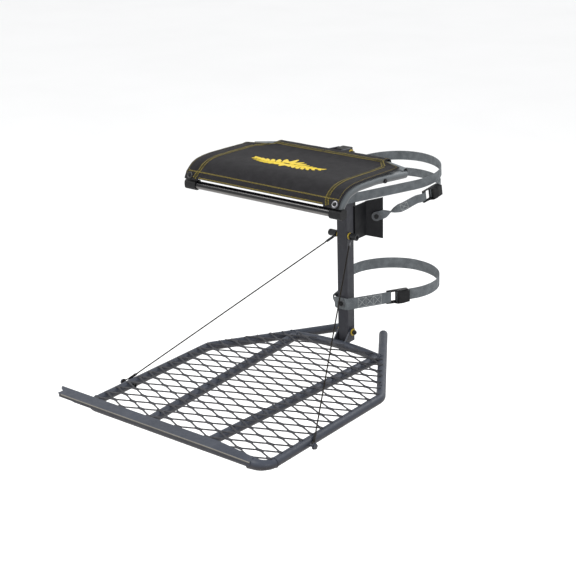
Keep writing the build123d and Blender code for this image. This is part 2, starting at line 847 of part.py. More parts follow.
with BuildLine() as back_line:
    FilletPolyline(
        (-seat_back_end[0], seat_back_end[1], seat_back_end[2]),
        (-seat_back_straight_x, seat_back_y, seat_back_z),
        (seat_back_straight_x, seat_back_y, seat_back_z),
        seat_back_end,
        radius=60,
    )
back_rod = tube(back_line.wire(), seat_tube_r)
with BuildPart() as seat_back_tube:
    add(tube(back_line.wire(), seat_tube_r, tube_wall))
    for rod in rail_rods:
        add(rod, mode=Mode.SUBTRACT)
back_piece = seat_back_tube.part.solids().sort_by(SortBy.VOLUME)[-1]
with BuildPart() as seat_back_tube:
    add(back_piece)
save(seat_back_tube, "seat_back_tube")

with BuildPart() as clamps:
    for sign in (-1, 1):
        with Locations((sign * 242.0, seat_front[0] - 0.5, seat_front[1])):
            Box(37, 27, 27)
    fillet(clamps.edges().filter_by(Axis.X), 10)
    with BuildSketch(Plane.YZ):
        with Locations(seat_front):
            Circle(seat_tube_r)
    extrude(amount=seat_rail_x, both=True, mode=Mode.SUBTRACT)
    for rod in rail_rods:
        add(rod, mode=Mode.SUBTRACT)
clamp_pieces = clamps.part.solids().sort_by(SortBy.VOLUME)[-2:]
with BuildPart() as clamps:
    for piece in clamp_pieces:
        add(piece)
save(clamps, "seat_corner_clamps")

with BuildPart() as seat_bracket:
    for sign in (-1, 1):
        with BuildSketch(Plane.YZ.offset(sign * (ear_in + ear_thick / 2))):
            with BuildLine():
                Polyline(
                    (post_y - 2, seat_pivot_z + ear_round),
                    (seat_back_y, seat_back_z + 9),
                    (seat_back_y - 8, seat_back_z - 4),
                    (post_front_y - 4.4, 400),
                    (post_front_y - 0.5, 400),
                    (post_y + 2, seat_pivot_z - ear_round),
                    close=True,
                )
            make_face()
            with Locations((post_y, seat_pivot_z)):
                Circle(ear_round)
                Circle(pivot_bore_r, mode=Mode.SUBTRACT)
        extrude(amount=ear_thick / 2, both=True)
    with BuildSketch(Plane.YZ):
        with BuildLine():
            Polyline(
                (post_front_y - 4.4, 400),
                (post_front_y - 0.5, 400),
                (post_front_y - 0.5, 422),
                (post_front_y - 4.4, 422),
                close=True,
            )
        make_face()
    extrude(amount=ear_in + 1, both=True)
    add(back_rod, mode=Mode.SUBTRACT)
save(seat_bracket, "seat_hinge_bracket")

# seat cover: a sheet that follows the rails, and its raised rear part over the back tube
cover = 3.0
cover_half_x = 257.0
rear_half_x = 184.5
rear_shift_x = 14.5
slit_top_z = 420.0
slit_half_x = 209.0
cover_top = [
    (-606.0, 416.0),
    (-601.0, 427.0),
    (-590.0, 441.0),
    (-572.0, 453.5),
    (-548.0, 461.0),
    (-514.0, 464.0),
    (-472.0, 463.5),
    (-404.0, 461.0),
    (-342.0, 458.2),
]
rear_top = [
    (-375.0, 459.6),
    (-345.0, 461.0),
    (-322.0, 466.5),
    (-306.0, 468.2),
    (-293.5, 463.5),
    (-289.3, 452.0),
]


def cover_sheet(line, half):
    """Sheet of the seat cover below a smooth line through the given points."""
    under = []
    for before, (y, z), after in zip([line[0]] + line, line, line[1:] + [line[-1]]):
        run = (after[0] - before[0], after[1] - before[1])
        under.append((y + cover * run[1] / hypot(*run), z - cover * run[0] / hypot(*run)))
    with BuildPart() as made:
        with BuildSketch(Plane.YZ):
            with BuildLine():
                top = Spline(*line)
                bottom = Spline(*under)
                Line(top @ 1, bottom @ 1)
                Line(bottom @ 0, top @ 0)
            make_face()
        extrude(amount=half, both=True)
    return made.part


hem_slit = Pos(0, -606, slit_top_z - 10) * Box(2 * slit_half_x, 40, 20)
cover_notch = Pos(0, -284, 455) * Box(2 * ear_out + 6, 26, 40)
with BuildPart() as fabric:
    rear_sheet = Pos(rear_shift_x, 0, 0) * cover_sheet(rear_top, rear_half_x)
    add(cover_sheet(cover_top, cover_half_x) + rear_sheet - cover_notch - hem_slit)
save(fabric, "seat_fabric")

grommet_at = (238.0, -602.6, 425.0)
grommet_face = (0, -0.9, 0.43)
with BuildPart() as grommets:
    for sign in (-1, 1):
        face = Plane(origin=(sign * grommet_at[0], *grommet_at[1:]), z_dir=grommet_face)
        with BuildSketch(face.offset(1.5)):
            Circle(10)
            Circle(4.6, mode=Mode.SUBTRACT)
        extrude(amount=1.2)
save(grommets, "seat_grommets")
with BuildPart() as grommet_screws:
    for sign in (-1, 1):
        face = Plane(origin=(sign * grommet_at[0], *grommet_at[1:]), z_dir=grommet_face)
        with BuildSketch(face.offset(1.5)):
            Circle(4.5)
        extrude(amount=2.6, taper=10)
save(grommet_screws, "seat_grommet_screws")

with BuildPart() as side_bolts:
    for sign in (-1, 1):
        with BuildSketch(Plane.YZ.offset(sign * (seat_rail_x + seat_tube_r - 1))):
            with Locations((-405.5, 441)):
                Circle(6.5)
        extrude(amount=sign * 4.5, taper=14)
    for rod in rail_rods:
        add(rod, mode=Mode.SUBTRACT)
save(side_bolts, "seat_side_bolts")
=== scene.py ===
import bpy
import json
from math import acos, atan2, cos, hypot, pi, radians, sin, sqrt, tau
from mathutils import Matrix, Vector, noise


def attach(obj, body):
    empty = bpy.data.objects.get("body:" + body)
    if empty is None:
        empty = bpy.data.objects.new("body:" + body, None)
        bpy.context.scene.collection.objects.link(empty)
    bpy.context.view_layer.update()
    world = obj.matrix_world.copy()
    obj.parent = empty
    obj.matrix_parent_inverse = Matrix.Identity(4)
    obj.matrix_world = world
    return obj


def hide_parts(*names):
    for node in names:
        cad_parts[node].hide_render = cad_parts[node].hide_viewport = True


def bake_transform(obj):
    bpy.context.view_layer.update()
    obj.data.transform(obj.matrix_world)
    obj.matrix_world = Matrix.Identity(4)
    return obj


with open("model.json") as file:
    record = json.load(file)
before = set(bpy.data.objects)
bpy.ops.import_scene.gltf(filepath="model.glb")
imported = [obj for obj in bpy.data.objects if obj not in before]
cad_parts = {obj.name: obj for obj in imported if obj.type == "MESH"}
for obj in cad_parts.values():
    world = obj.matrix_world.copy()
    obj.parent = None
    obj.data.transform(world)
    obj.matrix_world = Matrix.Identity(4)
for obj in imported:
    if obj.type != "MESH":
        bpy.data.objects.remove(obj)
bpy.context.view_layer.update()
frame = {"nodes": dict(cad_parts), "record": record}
scene = bpy.context.scene

# ------------------------------------------------------------------ camera, floor and light

camera = bpy.data.objects.new("camera", bpy.data.cameras.new("camera"))
scene.collection.objects.link(camera)
camera.data.lens = 85.2
camera.data.sensor_width = 36
camera.data.clip_end = 60
eye = Vector((2.1787, -3.1732, 1.4146))
aim = Vector((0.40575, -0.99376, 0.36247))
turn = (aim - eye).to_track_quat("-Z", "Y").to_matrix().to_4x4()
camera.matrix_world = Matrix.Translation(eye) @ turn @ Matrix.Rotation(radians(-1.62), 4, "Z")
scene.camera = camera
scene.view_settings.view_transform = "Standard"

world = bpy.data.worlds.new("studio")
scene.world = world
world.use_nodes = True
world.node_tree.nodes["Background"].inputs["Color"].default_value = (0.99, 0.995, 1.0, 1)
world.node_tree.nodes["Background"].inputs["Strength"].default_value = 1.0


def area_light(name, at, to, size, power, tint=(1, 1, 1)):
    """Soft box that faces a point."""
    light = bpy.data.lights.new(name, "AREA")
    light.shape = "RECTANGLE"
    light.size, light.size_y = size
    light.energy = power
    light.color = tint
    lamp = bpy.data.objects.new(name, light)
    scene.collection.objects.link(lamp)
    facing = (Vector(to) - Vector(at)).to_track_quat("-Z", "Y")
    lamp.matrix_world = Matrix.Translation(at) @ facing.to_matrix().to_4x4()


area_light("key", (-1.6, -2.6, 3.0), (0, -0.5, 0.1), (1.8, 1.8), 95, (1.0, 0.985, 0.96))
area_light("fill", (3.2, -2.2, 1.2), (0, -0.5, 0.1), (2.0, 2.0), 38, (0.94, 0.97, 1.0))
area_light("rim", (0.8, 2.6, 2.2), (0, -0.4, 0.2), (2.0, 1.2), 55)


class Stuff:
    """A procedural material and the node calls it is built with."""

    def __init__(self, name, rough=0.5, metal=0.0, coords="Object", gleam=0.5):
        self.mat = bpy.data.materials.new(name)
        self.mat.use_nodes = True
        self.tree = self.mat.node_tree
        self.shader = self.tree.nodes["Principled BSDF"]
        self.set("Roughness", rough)
        self.set("Metallic", metal)
        self.set("Specular IOR Level", gleam)
        self.coords = self.tree.nodes.new("ShaderNodeTexCoord").outputs[coords]
        self.relief = None

    def set(self, socket, value):
        """A value or a node's output goes into one of the shader's sockets."""
        self.plug(self.shader.inputs[socket], value)

    def plug(self, socket, value):
        if isinstance(value, bpy.types.NodeSocket):
            self.tree.links.new(value, socket)
        else:
            socket.default_value = value

    def noise(self, scale, detail=3.0, stretch=None):
        made = self.tree.nodes.new("ShaderNodeTexNoise")
        made.inputs["Scale"].default_value = scale
        made.inputs["Detail"].default_value = detail
        source = self.coords
        if stretch:
            mapping = self.tree.nodes.new("ShaderNodeMapping")
            mapping.inputs["Scale"].default_value = stretch
            self.plug(mapping.inputs["Vector"], source)
            source = mapping.outputs["Vector"]
        self.plug(made.inputs["Vector"], source)
        return made.outputs["Fac"]

    def math(self, operation, a, b=0.0):
        made = self.tree.nodes.new("ShaderNodeMath")
        made.operation = operation
        self.plug(made.inputs[0], a)
        self.plug(made.inputs[1], b)
        return made.outputs[0]

    def axis(self, index):
        split = self.tree.nodes.new("ShaderNodeSeparateXYZ")
        self.plug(split.inputs[0], self.coords)
        return split.outputs[index]

    def wave(self, value, period):
        """0 to 1 and back once every period."""
        turns = self.math("MULTIPLY", value, tau / period)
        return self.math("ADD", self.math("MULTIPLY", self.math("SINE", turns), 0.5), 0.5)

    def ramp(self, fac, *stops):
        made = self.tree.nodes.new("ShaderNodeValToRGB")
        band = made.color_ramp
        for _ in stops[2:]:
            band.elements.new(0.5)
        for element, (place, tone) in zip(band.elements, stops):
            element.position = place
            element.color = tone if isinstance(tone, tuple) else (tone, tone, tone, 1)
        self.plug(made.inputs[0], fac)
        return made.outputs[0]

    def mix(self, fac, a, b):
        made = self.tree.nodes.new("ShaderNodeMix")
        made.data_type = "RGBA"
        self.plug(made.inputs[0], fac)
        self.plug(made.inputs[6], a)
        self.plug(made.inputs[7], b)
        return made.outputs[2]

    def bump(self, height, distance, strength=1.0):
        made = self.tree.nodes.new("ShaderNodeBump")
        made.inputs["Distance"].default_value = distance
        made.inputs["Strength"].default_value = strength
        self.plug(made.inputs["Height"], height)
        if self.relief:
            self.plug(made.inputs["Normal"], self.relief)
        self.relief = made.outputs["Normal"]
        self.set("Normal", self.relief)

    def edges(self, radius):
        """About 1 on sharp outer edges and 0 on flat faces."""
        rounded = self.tree.nodes.new("ShaderNodeBevel")
        rounded.samples = 4
        rounded.inputs["Radius"].default_value = radius
        flat = self.tree.nodes.new("ShaderNodeNewGeometry")
        dot = self.tree.nodes.new("ShaderNodeVectorMath")
        dot.operation = "DOT_PRODUCT"
        self.plug(dot.inputs[0], rounded.outputs[0])
        self.plug(dot.inputs[1], flat.outputs["Normal"])
        return self.ramp(dot.outputs["Value"], (0.80, 1.0), (0.97, 0.0))


def tone(r, g, b):
    return (r, g, b, 1.0)


def shade(color, factor):
    return (color[0] * factor, color[1] * factor, color[2] * factor, 1.0)


def paint(name, color, rough, worn, wear=0.55, grain=1.0, underside_painted_light=None, gleam=0.3, turn=(0.42, 0.80)):
    """Powder coat: orange peel, uneven tone, dust, paler worn edges, and the underside colour on faces that
    turn downwards, as painted shade where that colour is darker and as painted reflection where it is lighter.
    """
    stuff = Stuff(name, rough, gleam=gleam)
    facing = stuff.tree.nodes.new("ShaderNodeSeparateXYZ")
    stuff.plug(facing.inputs[0], stuff.coords.node.outputs["Normal"])
    height = stuff.math("ADD", stuff.math("MULTIPLY", facing.outputs[2], 0.5), 0.5)
    upward = stuff.ramp(height, (turn[0], 0.0), (turn[1], 1.0))
    clouds = stuff.noise(9, 4)
    # painted light: faces that turn downwards take the underside colour, as painted shade where it is darker
    # and as painted reflection where it is lighter
    coat_and_painted_light = stuff.mix(upward, underside_painted_light or shade(color, 0.5), color)
    coat_and_painted_light = stuff.mix(stuff.ramp(clouds, (0.3, 0.30), (0.72, 0.0)), coat_and_painted_light, shade(color, 0.4))
    dust = stuff.ramp(stuff.noise(55, 6), (0.52, 0.0), (0.74, 0.14))
    coat_and_painted_light = stuff.mix(dust, coat_and_painted_light, shade(worn, 0.5))
    chips = stuff.ramp(stuff.noise(160, 5), (0.42, 0.0), (0.62, wear))
    rubbed = stuff.math("MULTIPLY", stuff.edges(0.0011), chips)
    stuff.set("Base Color", stuff.mix(rubbed, coat_and_painted_light, worn))
    stuff.set("Roughness", stuff.ramp(stuff.noise(70, 5), (0.3, rough - 0.07), (0.7, rough + 0.10)))
    stuff.bump(stuff.noise(900, 2), 0.00018 * grain, 0.5)
    stuff.bump(stuff.noise(180, 3), 0.0003 * grain, 0.25)
    return stuff.mat


def metal(name, color, rough, tarnish):
    """Bare metal with fine scratches and tarnish in patches."""
    stuff = Stuff(name, rough, 1.0)
    scale = 240
    spots = stuff.ramp(stuff.noise(scale, 5), (0.35, 0.0), (0.75, 0.85))
    stuff.set("Base Color", stuff.mix(spots, color, tarnish))
    stuff.set("Roughness", stuff.ramp(stuff.noise(scale * 1.7, 4), (0.3, rough - 0.08), (0.7, rough + 0.16)))
    stuff.bump(stuff.noise(1500, 2, (1, 1, 8)), 0.0001, 0.4)
    return stuff.mat


def woven(name, color, period, thread_r, sheen, streak, heather=0.5):
    """Plain weave on the piece's own lengthwise and crosswise millimetres."""
    stuff = Stuff(name, 0.86, 0.0, "UV", 0.12)
    along, across = stuff.axis(0), stuff.axis(1)
    warp = stuff.wave(along, period)
    weft = stuff.wave(across, period)
    checks = stuff.wave(stuff.math("ADD", along, across), period * 2)
    cells = stuff.math("MULTIPLY", stuff.math("ADD", warp, weft), stuff.math("ADD", checks, 0.35))
    fibres = stuff.noise(1.1, 4, streak)
    mottle = stuff.noise(0.05, 5)
    tint = stuff.ramp(mottle, (0.30, shade(color, 0.70)), (0.72, shade(color, 1.30)))
    tint = stuff.mix(stuff.ramp(fibres, (0.45, 0.0), (0.70, heather)), tint, shade(color, 2.4))
    # painted shade: the colour darkens in the hollows between the threads
    tint = stuff.mix(stuff.ramp(cells, (0.15, 0.55), (0.9, 0.0)), tint, shade(color, 0.25))
    stuff.set("Base Color", tint)
    stuff.set("Sheen Weight", sheen)
    stuff.set("Sheen Roughness", 0.5)
    stuff.bump(cells, thread_r, 0.8)
    stuff.bump(fibres, thread_r * 0.7, 0.4)
    return stuff.mat


def thread(name, color):
    """Twisted sewing thread."""
    stuff = Stuff(name, 0.6, gleam=0.2)
    fuzz = stuff.noise(900, 3)
    stuff.set("Base Color", stuff.ramp(fuzz, (0.25, shade(color, 0.55)), (0.75, shade(color, 1.25))))
    stuff.set("Sheen Weight", 0.1)
    stuff.bump(fuzz, 0.0003, 0.6)
    return stuff.mat


def moulded(name, color, rough):
    """Moulded plastic with a fine spark-eroded grain."""
    stuff = Stuff(name, rough, gleam=0.2)
    patches = stuff.ramp(stuff.noise(60, 4), (0.3, shade(color, 0.8)), (0.7, shade(color, 1.5)))
    stuff.set("Base Color", patches)
    stuff.set("Roughness", stuff.ramp(stuff.noise(300, 4), (0.3, rough - 0.06), (0.7, rough + 0.12)))
    stuff.bump(stuff.noise(1300, 2), 0.00012, 0.6)
    return stuff.mat


# painted shade: each coat below except the seat front enamel is darker on faces that turn downwards, in its
# underside colour where one is given and in half its own colour elsewhere
deck_paint = paint(
    "deck powder coat", tone(0.036, 0.042, 0.058), 0.46, tone(0.13, 0.14, 0.165),
    underside_painted_light=tone(0.018, 0.0165, 0.019),
)
mesh_paint = paint(
    "expanded metal coat", tone(0.028, 0.029, 0.035), 0.42, tone(0.10, 0.10, 0.105), 0.5,
    underside_painted_light=tone(0.012, 0.011, 0.011),
)
seat_paint = paint(
    "seat frame coat", tone(0.125, 0.140, 0.150), 0.44, tone(0.26, 0.27, 0.28),
    underside_painted_light=tone(0.062, 0.066, 0.069),
)
# painted reflection: the black enamel turns grey on faces that turn downwards, standing for the floor reflected
# in it
gloss_paint = paint(
    "seat front enamel", tone(0.004, 0.004, 0.005), 0.16, tone(0.05, 0.05, 0.055), 0.3, 0.4,
    tone(0.125, 0.118, 0.112), 0.35, (0.40, 0.52),
)
black_steel = paint(
    "black oxide steel", tone(0.006, 0.006, 0.007), 0.36, tone(0.10, 0.10, 0.11), 0.5, gleam=0.2
)
# pale beige as a bare plate edge and as a painted highlight, with painted shade on its faces that turn
# downwards
edge_paint_and_highlight = paint(
    "worn plate edge and painted highlight", tone(0.20, 0.185, 0.160), 0.5, tone(0.34, 0.33, 0.30), underside_painted_light=tone(0.13, 0.12, 0.10)
)
# painted shade: the tree bracket's coat is darkened all over for the shadow of the seat above it
bracket_painted_shade = paint(
    "bracket coat in painted shade", tone(0.012, 0.0125, 0.0145), 0.42, tone(0.06, 0.06, 0.065), 0.5, gleam=0.15
)
washer_paint = paint("grey washer", tone(0.105, 0.110, 0.118), 0.5, tone(0.26, 0.26, 0.27), 0.6)
spacer_paint = paint("dark spacer", tone(0.024, 0.025, 0.028), 0.45, tone(0.12, 0.12, 0.125), 0.5)
bright_steel = metal("bright steel", tone(0.16, 0.16, 0.175), 0.30, tone(0.07, 0.07, 0.07))
dull_steel = metal("dull steel", tone(0.045, 0.045, 0.047), 0.4, tone(0.02, 0.02, 0.02))
# painted shade: the zinc's darker underside colour goes on its faces that turn downwards
zinc = paint(
    "yellow zinc", tone(0.62, 0.46, 0.045), 0.34, tone(0.78, 0.62, 0.20),
    underside_painted_light=tone(0.40, 0.28, 0.03), gleam=0.5,
)
black_plastic = moulded("black plastic", tone(0.006, 0.006, 0.0065), 0.5)
webbing = woven("grey webbing", tone(0.118, 0.129, 0.137), 1.5, 0.00035, 0.06, (1.0, 6.0, 1.0), 0.3)
pack_cloth = woven(
    "charcoal pack cloth", tone(0.0155, 0.0148, 0.0165), 1.15, 0.00030, 0.03, (0.35, 2.4, 1.0), 0.45
)
olive_thread = thread("olive thread", tone(0.215, 0.165, 0.026))
olive_tape = woven("olive tape", tone(0.032, 0.027, 0.010), 1.0, 0.0002, 0.03, (1.0, 3.0, 1.0), 0.3)
gold_thread = thread("gold thread", tone(0.64, 0.47, 0.015))
pale_thread = thread("pale grey thread", tone(0.36, 0.37, 0.37))

cable_stuff = Stuff("bronze cable", 0.45, 0.0, gleam=0.1)
bronze = cable_stuff.ramp(
    cable_stuff.noise(500, 3), (0.3, tone(0.004, 0.003, 0.002)), (0.7, tone(0.016, 0.012, 0.007))
)
cable_stuff.set("Base Color", bronze)
cable_stuff.bump(cable_stuff.noise(1800, 2), 0.0001, 0.5)
cable_skin = cable_stuff.mat

floor_stuff = Stuff("pale floor", 0.9)
floor_stuff.set("Base Color", floor_stuff.ramp(floor_stuff.noise(1.5, 3), (0.3, 0.93), (0.7, 0.95)))
floor_half, floor_z = 28, -0.9
floor_corners = [(x * floor_half, y * floor_half, floor_z) for x, y in ((-1, -1), (1, -1), (1, 1), (-1, 1))]
floor_mesh = bpy.data.meshes.new("floor")
floor_mesh.from_pydata(floor_corners, [], [(0, 1, 2, 3)])
floor_mesh.materials.append(floor_stuff.mat)
floor_piece = bpy.data.objects.new("floor", floor_mesh)
scene.collection.objects.link(floor_piece)

# ------------------------------------------------------------------ mesh building, in millimetres


def directions(points, closed=False):
    """Unit tangent at every point of a path."""
    last = len(points) - 1
    made = []
    for i in range(len(points)):
        before = points[i - 1] if i or closed else points[i]
        after = points[(i + 1) % len(points)] if i < last or closed else points[i]
        made.append((after - before).normalized())
    return made


def smooth_path(points, steps):
    """Catmull-Rom points through a few given ones."""
    ends = [points[0] * 2 - points[1]] + list(points) + [points[-1] * 2 - points[-2]]
    made = []
    for a, b, c, d in zip(ends, ends[1:], ends[2:], ends[3:]):
        for k in range(steps):
            t = k / steps
            square, cube = 2 * a - 5 * b + 4 * c - d, 3 * b - a - 3 * c + d
            made.append(0.5 * (2 * b + (c - a) * t + square * t * t + cube * t ** 3))
    return made + [points[-1].copy()]


def oval(a, b, sides=12):
    """Elliptical cross-section."""
    return [(a * cos(tau * k / sides), b * sin(tau * k / sides)) for k in range(sides)]


def strip(width, thick, edge=0.7):
    """Flat cross-section with eased edges: the first axis is across, the second is out of the face."""
    w, t = width / 2, thick / 2
    half = [(w, -t + edge), (w, t - edge), (w - edge, t)]
    inner = [(w * k, t) for k in (0.5, 0.0, -0.5)]
    top = half + inner + [(-w + edge, t), (-w, t - edge)]
    return top + [(-a, -b) for a, b in top]


class Shape:
    """Vertices and faces that become one piece."""

    def __init__(self):
        self.points, self.faces, self.uvs, self.slots = [], [], [], []

    def add(self, points, faces, uvs=None, slot=0):
        start = len(self.points)
        self.points += [Vector(p) for p in points]
        self.faces += [tuple(start + i for i in face) for face in faces]
        self.uvs += uvs or [(p[0], p[1]) for p in points]
        self.slots += [slot] * len(faces)

    def sweep(self, path, section, ups=None, closed=False, slot=0):
        """A cross-section carried along a path; ups are its second axis."""
        tangents = directions(path, closed)
        up = ups[0] if ups else tangents[0].orthogonal()
        points, uvs, run = [], [], 0.0
        for i, (at, along) in enumerate(zip(path, tangents)):
            up = ups[i] if ups else up
            up = (up - along * up.dot(along)).normalized()
            side = along.cross(up)
            outline = section(i / (len(path) - 1)) if callable(section) else section
            run += (at - path[i - 1]).length if i else 0.0
            for a, b in outline:
                points.append(at + side * a + up * b)
                uvs.append((run, a))
        size = len(outline)
        faces = []
        for i in range(len(path) if closed else len(path) - 1):
            j = (i + 1) % len(path)
            for k in range(size):
                m = (k + 1) % size
                faces.append((i * size + k, i * size + m, j * size + m, j * size + k))
        if not closed:
            faces.append(tuple(range(size))[::-1])
            faces.append(tuple((len(path) - 1) * size + k for k in range(size)))
        self.add(points, faces, uvs, slot)

    def lathe(self, profile, at, axis, sides=28, slot=0, closed=False):
        """A profile of (radius, height) turned round an axis."""
        axis = Vector(axis).normalized()
        x = axis.orthogonal().normalized()
        y = axis.cross(x)
        points = []
        for k in range(sides):
            out = x * cos(tau * k / sides) + y * sin(tau * k / sides)
            points += [Vector(at) + out * r + axis * h for r, h in profile]
        size = len(profile)
        faces = []
        for k in range(sides):
            n = (k + 1) % sides
            for i in range(size if closed else size - 1):
                j = (i + 1) % size
                faces.append((k * size + i, n * size + i, n * size + j, k * size + j))
        self.add(points, faces, None, slot)

    def make(self, name, mats, body, slot, nodes=(), sharp=38, ride=True):
        """The piece itself, on its body; nodes are the CAD nodes whose place it takes."""
        mesh = bpy.data.meshes.new(name)
        mesh.from_pydata([p * 0.001 for p in self.points], [], self.faces)
        layer = mesh.uv_layers.new(name="mm")
        for loop in mesh.loops:
            layer.data[loop.index].uv = self.uvs[loop.vertex_index]
        for mat in mats:
            mesh.materials.append(mat)
        mesh.polygons.foreach_set("material_index", self.slots)
        mesh.shade_smooth()
        mesh.set_sharp_from_angle(angle=radians(sharp))
        piece = bpy.data.objects.new(name, mesh)
        scene.collection.objects.link(piece)
        if ride:
            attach(piece, body)
        if nodes:
            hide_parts(*nodes)
        return piece


# ------------------------------------------------------------------ places that the CAD script sets too

trunk_r = 140.0
deck_z, deck_tube_r = -124.0, 12.7
rail_x, rail_bend_y, deck_front_y, deck_corner_r = 303.4, -493.0, -971.0, 32.0
rail_end = (58.5, -129.4)
post_front, post_half = -249.4, 17.5
cover_half, slit_half = 257.0, 209.0
ring_z = 293.0
web_wide, web_thick = 25.4, 1.9

# ------------------------------------------------------------------ carried-over CAD nodes get their finish

finish_of = {
    "deck_paint": deck_paint,
    "seat_grey_paint": seat_paint,
    "gloss_black_paint": gloss_paint,
    "black_steel": black_steel,
    "bare_steel": bright_steel,
    "zinc_plate": zinc,
    "black_plastic": black_plastic,
    "coated_cable": cable_skin,
    "webbing": webbing,
    "seat_cloth": pack_cloth,
}
finish_of_node = {
    "strap_washers": washer_paint,
    # the tree bracket gets its coat darkened as painted shade
    "tree_bracket": bracket_painted_shade,
    "cable_bolt_spacers": spacer_paint,
    "cable_anchor_bolts": deck_paint,
}
for part in frame["record"]["subparts"]:
    carried = frame["nodes"][part["node"]].data
    carried.materials.clear()
    carried.materials.append(finish_of_node.get(part["node"], finish_of[part["material_slot"]]))

# ------------------------------------------------------------------ expanded metal

mesh_outline = [(-303, -967), (303, -967), (303, -493), (166, -286), (-166, -286), (-303, -493)]


def clipped(a, b):
    """The stretch of a line that lies inside the convex outline of the deck."""
    low, high = 0.0, 1.0
    for (x0, y0), (x1, y1) in zip(mesh_outline, mesh_outline[1:] + mesh_outline[:1]):
        inside_a = (x1 - x0) * (a[1] - y0) - (y1 - y0) * (a[0] - x0)
        inside_b = (x1 - x0) * (b[1] - y0) - (y1 - y0) * (b[0] - x0)
        if inside_a < 0 and inside_b < 0:
            return None
        if inside_a < 0:
            low = max(low, inside_a / (inside_a - inside_b))
        if inside_b < 0:
            high = min(high, inside_a / (inside_a - inside_b))
    return (low, high) if high - low > 0.05 else None


# diamonds of 100 by 40.6 mm: a wide bond at each corner, and four strands that lean as they leave it
deck_web = Shape()
sheet_z = deck_z + deck_tube_r + 0.6
half_long, diamond_short, mesh_middle_y = 50.0, 40.6, -786.75
bond_half, bond_wide, strand_wide = 12.5, 9.0, 4.2
for column in range(-7, 8):
    for row in range(-6, 16):
        x = half_long * column
        y = mesh_middle_y + diamond_short * (row + 0.5 * (column % 2))
        runs = [((x - bond_half, y), (x + bond_half, y), bond_wide, 10, 10)]
        for rise in (-diamond_short / 2, diamond_short / 2):
            runs.append(((x + 7.5, y + 0.12 * rise), (x + 42.5, y + 0.88 * rise), strand_wide, 16, 42))
        for a, b, wide, lean_end, lean_mid in runs:
            kept = clipped(a, b)
            if not kept:
                continue
            path, ups = [], []
            direction = Vector((b[0] - a[0], b[1] - a[1], 0)).normalized()
            flat = Vector((-direction.y, direction.x, 0))
            for k in range(5):
                t = kept[0] + (kept[1] - kept[0]) * k / 4
                lean = radians(lean_end + (lean_mid - lean_end) * sin(pi * t))
                path.append(Vector((a[0] + (b[0] - a[0]) * t, a[1] + (b[1] - a[1]) * t, sheet_z)))
                ups.append(flat * -sin(lean) + Vector((0, 0, cos(lean))))
            deck_web.sweep(path, strip(wide, 2.1, 0.6), ups)
deck_web.make("expanded_metal", [mesh_paint], "deck", "deck_paint", ["deck_mesh"], 50)

# ------------------------------------------------------------------ welds


def weld(shape, at, along, main_at, main_along):
    """Rippled bead where one deck tube meets another."""
    bead, start_r = 2.2, deck_tube_r + 0.3
    along, main_along = Vector(along).normalized(), Vector(main_along).normalized()
    x = along.orthogonal().normalized()
    y = along.cross(x)
    ring = []
    for k in range(56):
        out = x * cos(tau * k / 56) + y * sin(tau * k / 56)
        start = Vector(at) + out * start_r
        gap = start - Vector(main_at)
        gap -= main_along * gap.dot(main_along)
        flow = along - main_along * along.dot(main_along)
        a, b, c = flow.length_squared, gap.dot(flow), gap.length_squared - start_r ** 2
        root = max(b * b - a * c, 0.0)
        ring.append(start + along * ((-b - sqrt(root)) / a))
    path = smooth_path(ring + [ring[0]], 3)[:-1]
    last = len(path) - 1
    ripple = [0.82 + 0.26 * abs(sin(i * 0.55)) + 0.10 * noise.noise(p * 0.3) for i, p in enumerate(path)]

    def section(t):
        bead_r = bead * ripple[min(int(t * last + 0.5), last)]
        return oval(bead_r, bead_r, 8)

    shape.sweep(path, section, closed=True)


beads = Shape()
for sign in (-1, 1):
    rail_run = Vector((sign * (rail_end[0] - rail_x), rail_end[1] - rail_bend_y, 0))
    slat_front, slat_rear = Vector((sign * 101, -967, deck_z)), Vector((sign * 146, -287, deck_z))
    slat_run = slat_rear - slat_front
    weld(beads, slat_front + slat_run * 0.1, -slat_run, (0, deck_front_y, deck_z), (1, 0, 0))
    weld(beads, slat_rear - slat_run * 0.1, slat_run, (sign * 147, -284.5, deck_z), (1, -sign * 0.16, 0))
    weld(beads, (sign * 120, -279.5, deck_z), (sign, -0.15, 0), (sign * rail_x, rail_bend_y, deck_z), rail_run)
    collar, collar_r, collar_y = [], 13.0, deck_front_y + deck_corner_r
    for k in range(40):
        a = tau * k / 40
        collar.append(Vector((sign * (rail_x + collar_r * cos(a)), collar_y, deck_z + collar_r * sin(a))))
    beads.sweep(collar, oval(1.5, 1.0, 8), closed=True)
beads.make("weld_beads", [deck_paint], "deck", "deck_paint", (), 60)

# front edge of the foot bar's plate, pale as a bare edge and as a painted highlight, and the tapered sleeve
# that closes its wrapped end over the corner
bar_edge, bar_weld = Shape(), Shape()
lip_start, lip_turn = Vector((-381, -996.1, -107.3)), Vector((150, -996.1, -107.3))
lip_tip = Vector((266, -986.4, -115.4))
edge_path = [Vector((x, lip_start.y, lip_start.z)) for x in (lip_start.x, -300, -200, -100, 0, 100, lip_turn.x)]
edge_path += [lip_turn.lerp(lip_tip, k / 8) for k in range(1, 9)]
bar_edge.sweep(edge_path, oval(1.45, 1.2, 8), [Vector((0, -1, 0))] * len(edge_path))
bar_edge.make("foot_bar_edge", [edge_paint_and_highlight], "deck", "deck_paint")
corner_x, corner_y, sleeve_x = rail_x - deck_corner_r, deck_front_y + deck_corner_r, 254.0
rim = [Vector((sleeve_x + (corner_x - sleeve_x) * k / 5, deck_front_y, deck_z)) for k in range(5)]
for degrees in range(0, 50, 6):
    a = radians(degrees)
    rim.append(Vector((corner_x + deck_corner_r * sin(a), corner_y - deck_corner_r * cos(a), deck_z)))


def sleeve_section(t):
    r = 16.4 - 3.6 * t ** 0.8
    return oval(r, r, 28)


